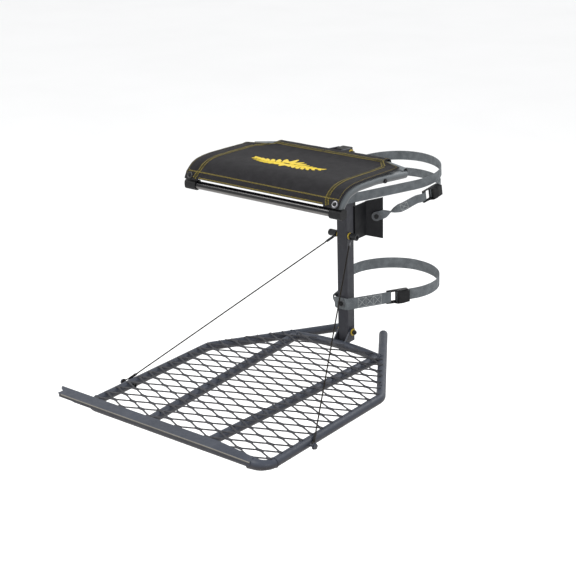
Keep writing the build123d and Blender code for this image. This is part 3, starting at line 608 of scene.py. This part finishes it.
bar_weld.sweep(rim, sleeve_section, [Vector((0, 0, 1))] * len(rim))
bar_weld.make("foot_bar_weld", [deck_paint], "deck", "deck_paint", (), 60)

# ------------------------------------------------------------------ seat cover

profile_points = [
    (-606.0, 416.0), (-601.5, 427.0), (-590.5, 441.0), (-572.0, 453.5), (-548.0, 461.0), (-514.0, 464.0),
    (-472.0, 463.6), (-430.0, 462.3), (-392.0, 460.8), (-360.0, 460.2), (-338.0, 462.6), (-322.0, 466.4),
    (-306.0, 468.2), (-294.0, 463.5), (-289.6, 452.0),
]
profile = smooth_path([Vector((0, y, z)) for y, z in profile_points], 14)
reach = [0.0]
for before, after in zip(profile, profile[1:]):
    reach.append(reach[-1] + (after - before).length)
seat_long = reach[-1]


def on_profile(s):
    """Point and outward normal of the cover's middle line at a distance from its front hem."""
    s = min(max(s, 0.0), seat_long - 1e-3)
    i = max(k for k in range(len(reach) - 1) if reach[k] <= s)
    a, b = profile[i], profile[i + 1]
    before, after = profile[max(i - 2, 0)], profile[min(i + 3, len(profile) - 1)]
    run = (after - before).normalized()
    return a.lerp(b, (s - reach[i]) / (reach[i + 1] - reach[i])), Vector((0, -run.z, run.y))


def run_at(y):
    """Distance along the profile at which it reaches a depth y."""
    i = max(k for k in range(len(profile) - 1) if profile[k].y <= y)
    return reach[i] + (reach[i + 1] - reach[i]) * (y - profile[i].y) / (profile[i + 1].y - profile[i].y)


s_slit = 4.6
flap_end = {-1: run_at(-349.0), 1: run_at(-338.0)}
flap_slant = 14.0
rear_edge = {-1: 169.5, 1: 198.5}


def cover_edges(s):
    """The cover's left and right edges at a distance along the profile."""
    left, right = (min(max((s - flap_end[sign]) / flap_slant, 0.0), 1.0) for sign in (-1, 1))
    return -cover_half + (cover_half - rear_edge[-1]) * left, cover_half - (cover_half - rear_edge[1]) * right


def cloth(x, s):
    """Point on the cover's upper face: x across, s along the profile."""
    at, normal = on_profile(s)
    left, right = cover_edges(s)
    edge = min(x - left, right - x)
    from_front, from_back = max(s - s_slit, 0.0), seat_long - s
    hem = max(0.0, 1 - max(edge - 27, 0) / 3) if edge < 30 else 0.0
    hem = max(hem, 1.0 if from_front < 21 else max(0.0, 1 - (from_front - 21) / 3))
    hem = max(hem, 1.0 if from_back < 24 else max(0.0, 1 - (from_back - 24) / 3))
    lift = 0.9 * hem
    inner = min(1.0, max(edge - 30, 0) / 60)
    middle = sin(pi * min(max((s - 90) / (seat_long - 150), 0), 1))
    lift -= 3.4 * inner * middle
    point = Vector((x * 0.011, s * 0.011, 0.3))
    lift += 0.9 * inner * noise.noise(point * 1.3) + 0.45 * noise.noise(point * 4.1)
    lift += 0.35 * sin(x * 0.16 + 2.0 * noise.noise(point * 2)) * (1 - min(abs(from_front - 40) / 40, 1))
    pull = 238 - abs(x)
    lift += 0.8 * max(0, 1 - hypot(pull, from_front - 12) / 60) * sin(atan2(from_front - 12, pull) * 7)
    if edge < 8:
        lift -= 0.10 * (8 - edge) ** 1.3
    out = at + normal * lift
    return Vector((x, out.y, out.z)), normal


# the sheet is open along its front between the clamps, and round the hinge bracket at its back
slit_u = (cover_half - slit_half) / (2 * cover_half)
columns = sorted([k / 126 for k in range(127)] + [slit_u, 1 - slit_u])
rows = sorted([seat_long * k / 104 for k in range(105)] + [s_slit])
hinge_half, s_hinge = 25, run_at(-298.5)
cover = Shape()
points, uvs = [], []
for s in rows:
    left, right = cover_edges(s)
    for u in columns:
        point, _ = cloth(left * (1 - u) + right * u, s)
        points.append(point)
        uvs.append((point.x, s))
faces = []
per_row = len(columns)
for j in range(len(rows) - 1):
    for i in range(per_row - 1):
        k = j * per_row + i
        middle_x = (points[k].x + points[k + 1].x) / 2
        if abs(middle_x) < hinge_half and rows[j] > s_hinge:
            continue
        if abs(middle_x) < slit_half and rows[j] < s_slit - 0.01:
            continue
        faces.append((k, k + 1, k + per_row + 1, k + per_row))
cover.add(points, faces, uvs)
seat_cover = cover.make("seat_cover", [pack_cloth], "seat", "seat_cloth", ["seat_fabric"], 70)
thickness = seat_cover.modifiers.new("cloth thickness", "SOLIDIFY")
thickness.thickness = 0.0024
thickness.offset = -1


# one stitch: share of its length, height over the cloth, share of its thickness
stitch_arch = ((0.0, -0.25, 0.35), (0.2, 0.35, 0.9), (0.5, 0.55, 1.0), (0.8, 0.35, 0.9), (1.0, -0.25, 0.35))


def stitches(shape, places, pitch=5.4, long=3.8, thick=0.55):
    """A seam of separate stitches through (x, s) places on the cover."""

    def section(t):
        girth = stitch_arch[int(t * 4 + 0.5)][2] * thick
        return oval(girth, girth * 0.8, 6)

    path = []
    for (x0, s0), (x1, s1) in zip(places, places[1:]):
        count = max(int(hypot(x1 - x0, s1 - s0) / 1.8), 1)
        path += [(x0 + (x1 - x0) * k / count, s0 + (s1 - s0) * k / count) for k in range(count)]
    path.append(places[-1])
    world_path, lifts, run = [], [], [0.0]
    for x, s in path:
        point, normal = cloth(x, s)
        world_path.append(point)
        lifts.append(normal)
    for a, b in zip(world_path, world_path[1:]):
        run.append(run[-1] + (b - a).length)

    def at(distance):
        i = max(k for k in range(len(run) - 1) if run[k] <= distance)
        t = (distance - run[i]) / max(run[i + 1] - run[i], 1e-6)
        return world_path[i].lerp(world_path[i + 1], t), lifts[i]

    place = 1.0
    while place + long < run[-1]:
        row = []
        for share, height, _ in stitch_arch:
            point, normal = at(place + long * share)
            row.append((point + normal * height, normal))
        shape.sweep([p for p, _ in row], section, [n for _, n in row])
        place += pitch


def tape(shape, places, wide, slot):
    """Narrow tape that lies flat on the cover."""
    path, ups = [], []
    for (x0, s0), (x1, s1) in zip(places, places[1:]):
        count = max(int(hypot(x1 - x0, s1 - s0) / 4), 1)
        for k in range(count):
            x, at_s = x0 + (x1 - x0) * k / count, s0 + (s1 - s0) * k / count
            point, normal = cloth(x, at_s)
            path.append(point + normal * 0.25)
            ups.append(normal)
    shape.sweep(path, strip(wide, 0.7, 0.2), ups, slot=slot)


def beside(places, amount):
    """The same run of places moved sideways."""
    made = []
    for i, (x, at_s) in enumerate(places):
        x0, s0 = places[max(i - 1, 0)]
        x1, s1 = places[min(i + 1, len(places) - 1)]
        long = hypot(x1 - x0, s1 - s0)
        made.append((x - (s1 - s0) / long * amount, at_s + (x1 - x0) / long * amount))
    return made


# a taped seam down each side and across the back, hems, and a zigzag over the front end of each side seam
seams = Shape()
s_back = run_at(-325.0)
for sign in (-1, 1):
    s_notch, rear = flap_end[sign], rear_edge[sign]
    turn = (sign * 215, s_notch - 14)
    side_band = [(sign * 222, 5), (sign * 217, 17), (sign * 213.5, 30), (sign * 213.5, 150), turn]
    turn_band = [turn, (sign * (rear - 8), s_back), (0, s_back)]
    for run in (side_band, turn_band):
        tape(seams, run, 10.5, 1)
        for amount in (-5.0, -3.2, 3.2, 5.0):
            stitches(seams, beside(run, amount), 4.6, 3.9, 0.66)
    rear_hem_x = sign * (rear - 5)
    stitches(seams, [(sign * 251, 14), (sign * 251, s_notch - 4)])
    rear_hem = [(sign * 249, s_notch - 4), (rear_hem_x, s_notch + flap_slant + 3), (rear_hem_x, seat_long - 6)]
    stitches(seams, rear_hem)
    for k in range(9):
        swing = 9 * (k % 2)
        zigzag = [(sign * (216 + swing), 4 + 2.2 * k), (sign * (225 - swing), 5.5 + 2.2 * k)]
        stitches(seams, zigzag, 9.5, 8.6, 1.0)
    stitches(seams, [(sign * 26, seat_long - 12), (sign * (rear - 8), seat_long - 12)])
for s in (s_slit + 2.2, s_slit + 4.0, s_slit + 18.4, s_slit + 20.2):
    reach_x = 208 if s < 20 else 250
    stitches(seams, [(-reach_x, s), (reach_x, s)], 4.6, 3.9, 0.68)
seams.make("seat_stitching", [olive_thread, olive_tape], "seat", "seat_cloth", (), 70)

# ------------------------------------------------------------------ a plain embroidered leaf spray on the cover

emblem = Shape()
emblem_x, emblem_s = -14.0, run_at(-466.0)


def leaf(x, s, long, wide, angle):
    """A domed leaf of satin stitch with a sunk midrib."""
    places, uvs_here, faces_here = [], [], []
    steps, across = 22, 10
    for i in range(steps + 1):
        t = i / steps
        half = wide * (sin(pi * t ** 0.85) ** 0.75) / 2 + 0.15
        for j in range(across + 1):
            v = -1 + 2 * j / across
            a, b = long * t, half * v
            px = x + a * cos(angle) - b * sin(angle)
            ps = s + a * sin(angle) + b * cos(angle)
            point, normal = cloth(px, ps)
            ridge = 0.75 * (1 - v * v) ** 0.5 - 0.55 * max(0, 1 - abs(v) * 4)
            ridge += 0.12 * sin(a * 5.2 + abs(b) * 2.4)
            places.append(point + normal * (0.25 + ridge * min(1, half / 2)))
            uvs_here.append((a, b))
    for i in range(steps):
        for j in range(across):
            k = i * (across + 1) + j
            faces_here.append((k, k + across + 1, k + across + 2, k + 1))
    emblem.add(places, faces_here, uvs_here)


def stem(places, thick):
    """A raised cord of stitching through (x, s) places."""
    path, ups = [], []
    for x, s in places:
        point, normal = cloth(x, s)
        path.append(point + normal * 0.5)
        ups.append(normal)
    emblem.sweep(path, oval(thick, thick * 0.6, 8), ups)


for sign in (-1, 1):
    arc = [(emblem_x + sign * (12 + 7.6 * k), emblem_s - 11 + 0.33 * (k - 6) ** 2) for k in range(13)]
    stem(arc, 2.2)
    for k in range(0, 13, 2):
        x, s = arc[k]
        size = 40 - 1.6 * k
        lean = radians(64 - 2.4 * k)
        leaf(x, s, size, 15.5 - 0.45 * k, lean if sign > 0 else pi - lean)
        leaf(x, s, size * 0.78, 13.5 - 0.45 * k, -lean if sign > 0 else pi + lean)
for angle in (90, 40, 140, -90, -35, 215):
    shift = 4 if 0 < angle < 180 else -6
    leaf(emblem_x, emblem_s + shift, 46 if angle == 90 else 30, 16, radians(angle))
emblem.make("seat_embroidery", [gold_thread], "seat", "seat_cloth", (), 60)

# ------------------------------------------------------------------ seat hardware

eyelets, eyelet_screws = Shape(), Shape()
eyelet_ring = [(4.6, 0.2), (4.8, 1.4), (6.4, 2.2), (8.8, 1.9), (10.0, 0.9), (10.0, 0.0), (4.6, -0.2)]
screw_head = [(0, 1.2), (1.6, 1.2), (1.6, 2.9), (3.2, 2.6), (4.3, 1.5), (4.5, 0.2), (0, 0.0)]
for x, finish in ((-238, 1), (244, 0)):
    point, normal = cloth(x, 10.5)
    eyelets.lathe(eyelet_ring, point, normal, 36, finish, True)
    eyelet_screws.lathe(screw_head, point, normal, 24)
eyelets.make("seat_eyelets", [bright_steel, dull_steel], "seat", "bare_steel", ["seat_grommets"])
eyelet_screws.make("seat_eyelet_screws", [black_steel], "seat", "black_steel", ["seat_grommet_screws"])

# ------------------------------------------------------------------ straps


def tight_outline(radius, corner_x, corner_y):
    """Points and outward normals of half a loop round post and trunk, from the front middle, going right."""
    round_r, back = 2.6, 96
    corner = Vector((corner_x - round_r, corner_y + round_r, 0))
    far = hypot(corner.x, corner.y)
    swing = acos((radius - round_r) / far)
    touch = atan2(corner.y, corner.x) + swing
    made = [(Vector((x, corner_y, 0)), Vector((0, -1, 0))) for x in (0.0, corner.x * 0.5, corner.x)]
    for k in range(1, 9):
        a = -pi / 2 + (touch + pi / 2) * k / 8
        out = Vector((cos(a), sin(a), 0))
        made.append((corner + out * round_r, out))
    normal = Vector((cos(touch), sin(touch), 0))
    start, end = corner + normal * round_r, normal * radius
    made += [(start.lerp(end, k / 14), normal) for k in range(1, 14)]
    for k in range(back + 1):
        a = touch + (pi / 2 - touch) * k / back
        out = Vector((cos(a), sin(a), 0))
        made.append((out * radius, out))
    return made


def mirrored(outline):
    return [(Vector((-p.x, p.y, p.z)), Vector((-n.x, n.y, n.z))) for p, n in outline]


def wavy(outline, wobble):
    """The same loop, gently up and down along its run."""
    return [(p + Vector((0, 0, wobble * noise.noise(p * 0.012))), n) for p, n in outline]


def band(shape, outline, width=web_wide, closed=False):
    section = strip(width, web_thick, web_thick * 0.32)
    shape.sweep([p for p, _ in outline], section, [n for _, n in outline], closed)


def box_x(shape, place, run, rise):
    """Box with crossed diagonals, sewn through two layers of webbing, on a local plane."""
    thick = 0.6
    a, b = run / 2, rise / 2
    corners = [(-a, -b), (a, -b), (a, b), (-a, b)]
    diagonals = [(corners[0], corners[2]), (corners[3], corners[1])]
    lines = list(zip(corners, corners[1:] + corners[:1])) + diagonals
    for (x0, y0), (x1, y1) in lines:
        length = hypot(x1 - x0, y1 - y0)
        count = int(length / 3.2)
        for k in range(count):
            t0, t1 = (k + 0.12) / count, (k + 0.88) / count
            ends = []
            for t, h in ((t0, -0.2), (t0 * 0.7 + t1 * 0.3, 0.45), (t0 * 0.3 + t1 * 0.7, 0.45), (t1, -0.2)):
                ends.append(place @ Vector((x0 + (x1 - x0) * t, y0 + (y1 - y0) * t, h)))
            shape.sweep(ends, oval(thick, thick, 6))


def frame_at(at, along, out):
    """Matrix with X along a strap and Z out of its face."""
    along, out = Vector(along).normalized(), Vector(out).normalized()
    side = out.cross(along)
    return Matrix((*((along[i], side[i], out[i], at[i]) for i in range(3)), (0, 0, 0, 1)))


# lower strap: a short end from the post's bolt to the buckle, and a long one that comes back round the trunk
lower_wide = 34.0
loop = tight_outline(trunk_r + 1.1, post_half + 1.4, post_front - 1.4)
left = wavy(mirrored(loop), 0.8)
corner = Vector((post_half + 0.1, post_front - 0.1, 0))
touch = atan2(corner.y, corner.x) + acos((trunk_r + 0.1) / hypot(corner.x, corner.y))
run_dir = Vector((-sin(touch), cos(touch), 0))
out_dir = Vector((cos(touch), sin(touch), 0))
front = Vector((0, -1, 0))


def on_lower(u, lift):
    """Place on the right-hand run, measured from the buckle's middle, and its outward normal."""
    return corner + run_dir * (155.0 + u) + out_dir * lift, out_dir


def from_buckle(p):
    return (p - on_lower(0, 0)[0]).dot(run_dir)


lower_short, lower_long, strap_sewing = Shape(), Shape(), Shape()
inner = [(Vector((x, post_front - 1.4, 0)), front) for x in (-13, -6)]
inner += [(p, n) for p, n in loop if p.x > 1 and p.y < -100 and from_buckle(p) < -36] + [on_lower(-34, 1.0)]
band(lower_short, inner, lower_wide)
outer = [(p + n * 2.05, n) for p, n in loop if p.x > -1 and p.y < -100 and from_buckle(p) < -60]
outer = [(Vector((-12, post_front - 3.45, 0)), front)] + outer
into_slot = ((-50, 3.0), (-42, 2.9), (-35, 2.3), (-29, 1.6), (-23, 1.2), (-19, 0.4), (-17, -1.6))
outer += [on_lower(u, h) for u, h in into_slot]
band(lower_short, outer, lower_wide)
lower_short.make("lower_strap_front", [webbing], "mast", "webbing", ["lower_strap_short"], 40)
for k in range(3):
    place, _ = on_lower(-111 + 24.5 * k, 4.1)
    box_x(strap_sewing, frame_at(place, run_dir, out_dir), 24.5, 27)

# beside the post's left corner three stations of the long end are turned edge-on to sight, the fixed
# direction from the stand to the camera that matches the photograph; the shape is the same in every view
sight = Vector((0.594, -0.730, 0.353))
bulge = [Vector(p) for p in (
    (8, -255.1, 0), (-6, -255.1, 0), (-18, -254.4, 1), (-29, -250.5, 5), (-35.5, -242.5, 12),
    (-37.5, -232, 17), (-37, -221, 16), (-38, -211, 10), (-43, -203, 4), (-49.6, -194, 0),
)]
bulge_ups = [front, front, front]
bulge_ups += [-(bulge[i + 1] - bulge[i - 1]).normalized().cross(sight).normalized() for i in (3, 4, 5)]
bulge_ups.append(Vector((-0.9, -0.3, 0.3)).normalized())
bulge_ups += [Vector((-0.866, -0.5, 0.1))] * 2 + [Vector((-0.866, -0.5, 0))]
bulge_path = smooth_path(bulge, 8)
turned = [n.normalized() for n in smooth_path(bulge_ups, 8)]
under_cam = [on_lower(u, h) for u, h in ((-1, 2.6), (8, 1.6), (20, 1.0), (32, 1.0))]
around = [(p, n) for p, n in loop if from_buckle(p) > 36 or p.y > -60]
back_left = [(p, n) for p, n in reversed(left) if p.y > -190][1:]
whole = under_cam + around + back_left + list(zip(bulge_path, turned))[::-1]
bulge_start = len(whole) - len(bulge_path)


def lower_section(t):
    """Full width, drawn together where the webbing turns on edge beside the post."""
    at = (t * (len(whole) - 1) - bulge_start) / len(bulge_path)
    pinch = max(0.0, 1 - abs(at - 0.48) / 0.30)
    return strip(lower_wide * (1 - 0.34 * pinch), web_thick + 1.2 * pinch, 0.6)


lower_long.sweep([p for p, _ in whole], lower_section, [n for _, n in whole])
lower_long.make("lower_strap_round", [webbing], "mast", "webbing", ["lower_strap_long"], 40)

# upper strap: from the right wing by a half twist to its buckle, and from the buckle round to the left wing
wing = radians(34.6)
wing_run, wing_out = Vector((cos(wing), sin(wing), 0)), Vector((sin(wing), -cos(wing), 0))
peg = Vector((post_half, -158.0, 242.0)) + wing_run * 31 + wing_out * 7


def ring_point(angle, radius, z):
    a = radians(angle)
    return Vector((cos(a) * radius, sin(a) * radius, z)), Vector((cos(a), sin(a), 0))


buckle_turn, buckle_rise = radians(-6), radians(9)
buckle_out = Vector((cos(buckle_turn), sin(buckle_turn), 0))
level_run = Vector((-sin(buckle_turn), cos(buckle_turn), 0))
buckle_run = level_run * cos(buckle_rise) + Vector((0, 0, sin(buckle_rise)))


def on_upper(u, lift):
    return buckle_out * (trunk_r + 0.1 + lift) + Vector((0, 0, ring_z)) + buckle_run * u, buckle_out


def climb(stations):
    """Webbing from the wing's bolt up onto the trunk, through (angle, radius, height) stations."""
    run = [(peg + wing_run * u + Vector((0, 0, rise)), wing_out) for u, rise in ((-3, -1), (0, 0), (16, 4))]
    run += [ring_point(*station) for station in stations]
    ups = [n.normalized() for n in smooth_path([n for _, n in run], 10)]
    return smooth_path([p for p, _ in run], 10), ups


upper_short, upper_long = Shape(), Shape()
path, ups = climb([
    (-50, trunk_r + 7.0, 262.0), (-41, trunk_r + 6.0, 270.5),
    (-33, trunk_r + 3.4, 278.5), (-26, trunk_r + 3.4, 284.5),
])
lengths = [0.0]
for before, after in zip(path, path[1:]):
    lengths.append(lengths[-1] + (after - before).length)
twist_from, twist_long = 26.0, 46.0
twist_at = [min(max((d - twist_from) / twist_long, 0.0), 1.0) for d in lengths]
runs = directions(path)
twisted = []
for up, run, t in zip(ups, runs, twist_at):
    ease = pi * t * t * (3 - 2 * t)
    up = (up - run * up.dot(run)).normalized()
    twisted.append(up * cos(ease) + run.cross(up) * sin(ease))
entry = [on_upper(u, h) for u, h in ((-36, 4.4), (-30, 4.0), (-24, 3.6), (-19.5, 2.6), (-17.5, 0.4))]
path += [p for p, _ in entry]
twisted += [-n for _, n in entry]
twist_at += [1.0] * len(entry)


def upper_section(t):
    """Webbing that folds lengthwise as it turns over."""
    edge_on = sin(pi * twist_at[min(int(t * (len(path) - 1) + 0.5), len(path) - 1)])
    return strip(web_wide * (1 - 0.42 * edge_on), 2.6 + 1.4 * edge_on, 0.7)


upper_short.sweep(path, upper_section, twisted)
upper_short.make("upper_strap_front", [webbing], "mast", "webbing", ["upper_strap_short"], 40)
sewn = [i for i, d in enumerate(lengths) if 74 < d < 98]
sewn_middle = sewn[len(sewn) // 2]
direction = path[sewn[-1]] - path[sewn[0]]
box_x(strap_sewing, frame_at(path[sewn_middle] + ups[sewn[0]] * 1.35, direction, ups[sewn_middle]), 22, 18)

plain, plain_ups = climb([
    (-43.7, trunk_r + 2.6, 269.0), (-33, trunk_r + 2.2, 282.5),
    (-22, trunk_r + 1.8, 290.5), (-15.5, trunk_r + 1.1, ring_z),
])
mirror_lead = mirrored(list(zip(plain, plain_ups)))
through = [on_upper(u, h) for u, h in ((-1, 4.6), (8, 3.8), (18, 3.4), (27, 3.6), (34, 4.2))]
ring = []
for k in range(131):
    angle = 11 + 180 * k / 130
    off_trunk = 1.1 + 4.4 * max(0, (26 - angle) / 26)
    ring.append(ring_point(angle, trunk_r + off_trunk, ring_z + 6.6 * max(0, 1 - (angle - 8) / 60) ** 2))
band(upper_long, through + ring + list(reversed(mirror_lead))[2:])
band(upper_long, [(p + n * 2.1, n) for p, n in mirror_lead[11:39]])
upper_long.make("upper_strap_round", [webbing], "mast", "webbing", ["upper_strap_long"], 40)
middle, direction = mirror_lead[27][0] + mirror_lead[27][1] * 3.15, mirror_lead[31][0] - mirror_lead[23][0]
box_x(strap_sewing, frame_at(middle, direction, mirror_lead[27][1]), 28, 18)
strap_sewing.make("strap_stitching", [pale_thread], "mast", "webbing", (), 60)

# the spare webbing goes once more round the trunk and the post
lean = radians(4.4)
second_z, second_wide = 332.5, 28.0
second = Shape()
wide_loop = tight_outline(trunk_r + 2.6, post_half + 3.0, post_front - 2.6)
turn_all = wide_loop + [(p, n) for p, n in reversed(mirrored(wide_loop))][1:-1]


def leaned(p, n):
    y, z = p.y * cos(lean), p.y * sin(lean)
    return Vector((p.x, y, second_z + z)), Vector((n.x, n.y * cos(lean), n.y * sin(lean)))


band(second, [leaned(p, n) for p, n in turn_all], second_wide, True)
second.make("upper_strap_spare_turn", [webbing], "mast", "webbing", ["upper_strap_second_turn"], 40)

# ------------------------------------------------------------------ suspension cables


def cable_ends(sign):
    """Middles of the cable's upper and lower eyes."""
    return Vector((sign * 22.8, -237.0, 202.0)), Vector((sign * 326.1, -815.0, deck_z))


def eye_and_sleeve(shape, centre, toward, sleeve_slot=0):
    """Loop of cable round a bolt along X, drawn together in a pressed sleeve."""
    along = (toward - centre).normalized()
    side = (Vector((1, 0, 0)) - along * along.x).normalized()
    across = along.cross(side)
    wire, spread = 1.6, 5.9
    path = []
    for k in range(25):
        a = radians(-118 + 236 * k / 24)
        path.append(centre - along * cos(a) * spread + across * sin(a) * spread)
    neck = [centre + along * 15.0 + across * w for w in (1.9, -1.9)]
    path = smooth_path([neck[1]] + path[::3] + [neck[0]], 5)
    shape.sweep(path, oval(wire, wire, 10), slot=1)
    steps = 28
    sleeve = [centre + along * (15.0 + 24.0 * k / steps) for k in range(steps + 1)]

    def section(t):
        """Eased at both ends, with four pressed grooves."""
        groove = 0.55 * sum(max(0, 1 - abs(t - g) * 22) for g in (0.2, 0.4, 0.6, 0.8))
        depth = groove + 0.9 * (max(0, 1 - t / 0.06) + max(0, 1 - (1 - t) / 0.06))
        return oval(4.2 - depth, 3.1 - depth * 0.7, 18)

    shape.sweep(sleeve, section, [side] * (steps + 1), slot=sleeve_slot)
    tip = [centre + along * (38 + 3.2 * k) + across * (1.7 - 0.1 * k) for k in range(3)]
    shape.sweep(tip, oval(1.4, 1.4, 8), slot=1)


upper_ends, lower_ends = Shape(), Shape()
eye_long, lay_long, rope_steps = 36, 17.0, 300
for side, sign in (("left", -1), ("right", 1)):
    upper, lower = cable_ends(sign)
    along = (lower - upper).normalized()
    span = (lower - upper).length
    rope = Shape()
    bare = span - 2 * eye_long
    path = [upper + along * (eye_long + bare * k / rope_steps) for k in range(rope_steps + 1)]
    spin = tau * bare / lay_long

    def strands(t, total=spin):
        """Six outer strands, turned a little further at each station."""
        made = []
        for k in range(24):
            a = tau * k / 24
            r = 1.62 + 0.38 * abs(cos(3 * a))
            made.append((r * cos(a + total * t), r * sin(a + total * t)))
        return made

    rope.sweep(path, strands, [Vector((0, 0, 1))] * len(path))
    line = rope.make(f"cable_{side}", [cable_skin], "mast", "coated_cable", (), 60, ride=False)
    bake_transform(line)
    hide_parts(f"suspension_cable_{side}")
    eye_and_sleeve(upper_ends, upper, lower, 0 if sign > 0 else 2)
    eye_and_sleeve(lower_ends, lower, upper)
upper_skins, lower_skins = [bright_steel, cable_skin, spacer_paint], [black_plastic, cable_skin]
upper_ends.make("cable_ends_upper", upper_skins, "mast", "bare_steel", ["cable_eyes_upper"])
lower_ends.make("cable_ends_lower", lower_skins, "deck", "black_plastic", ["cable_eyes_lower"])
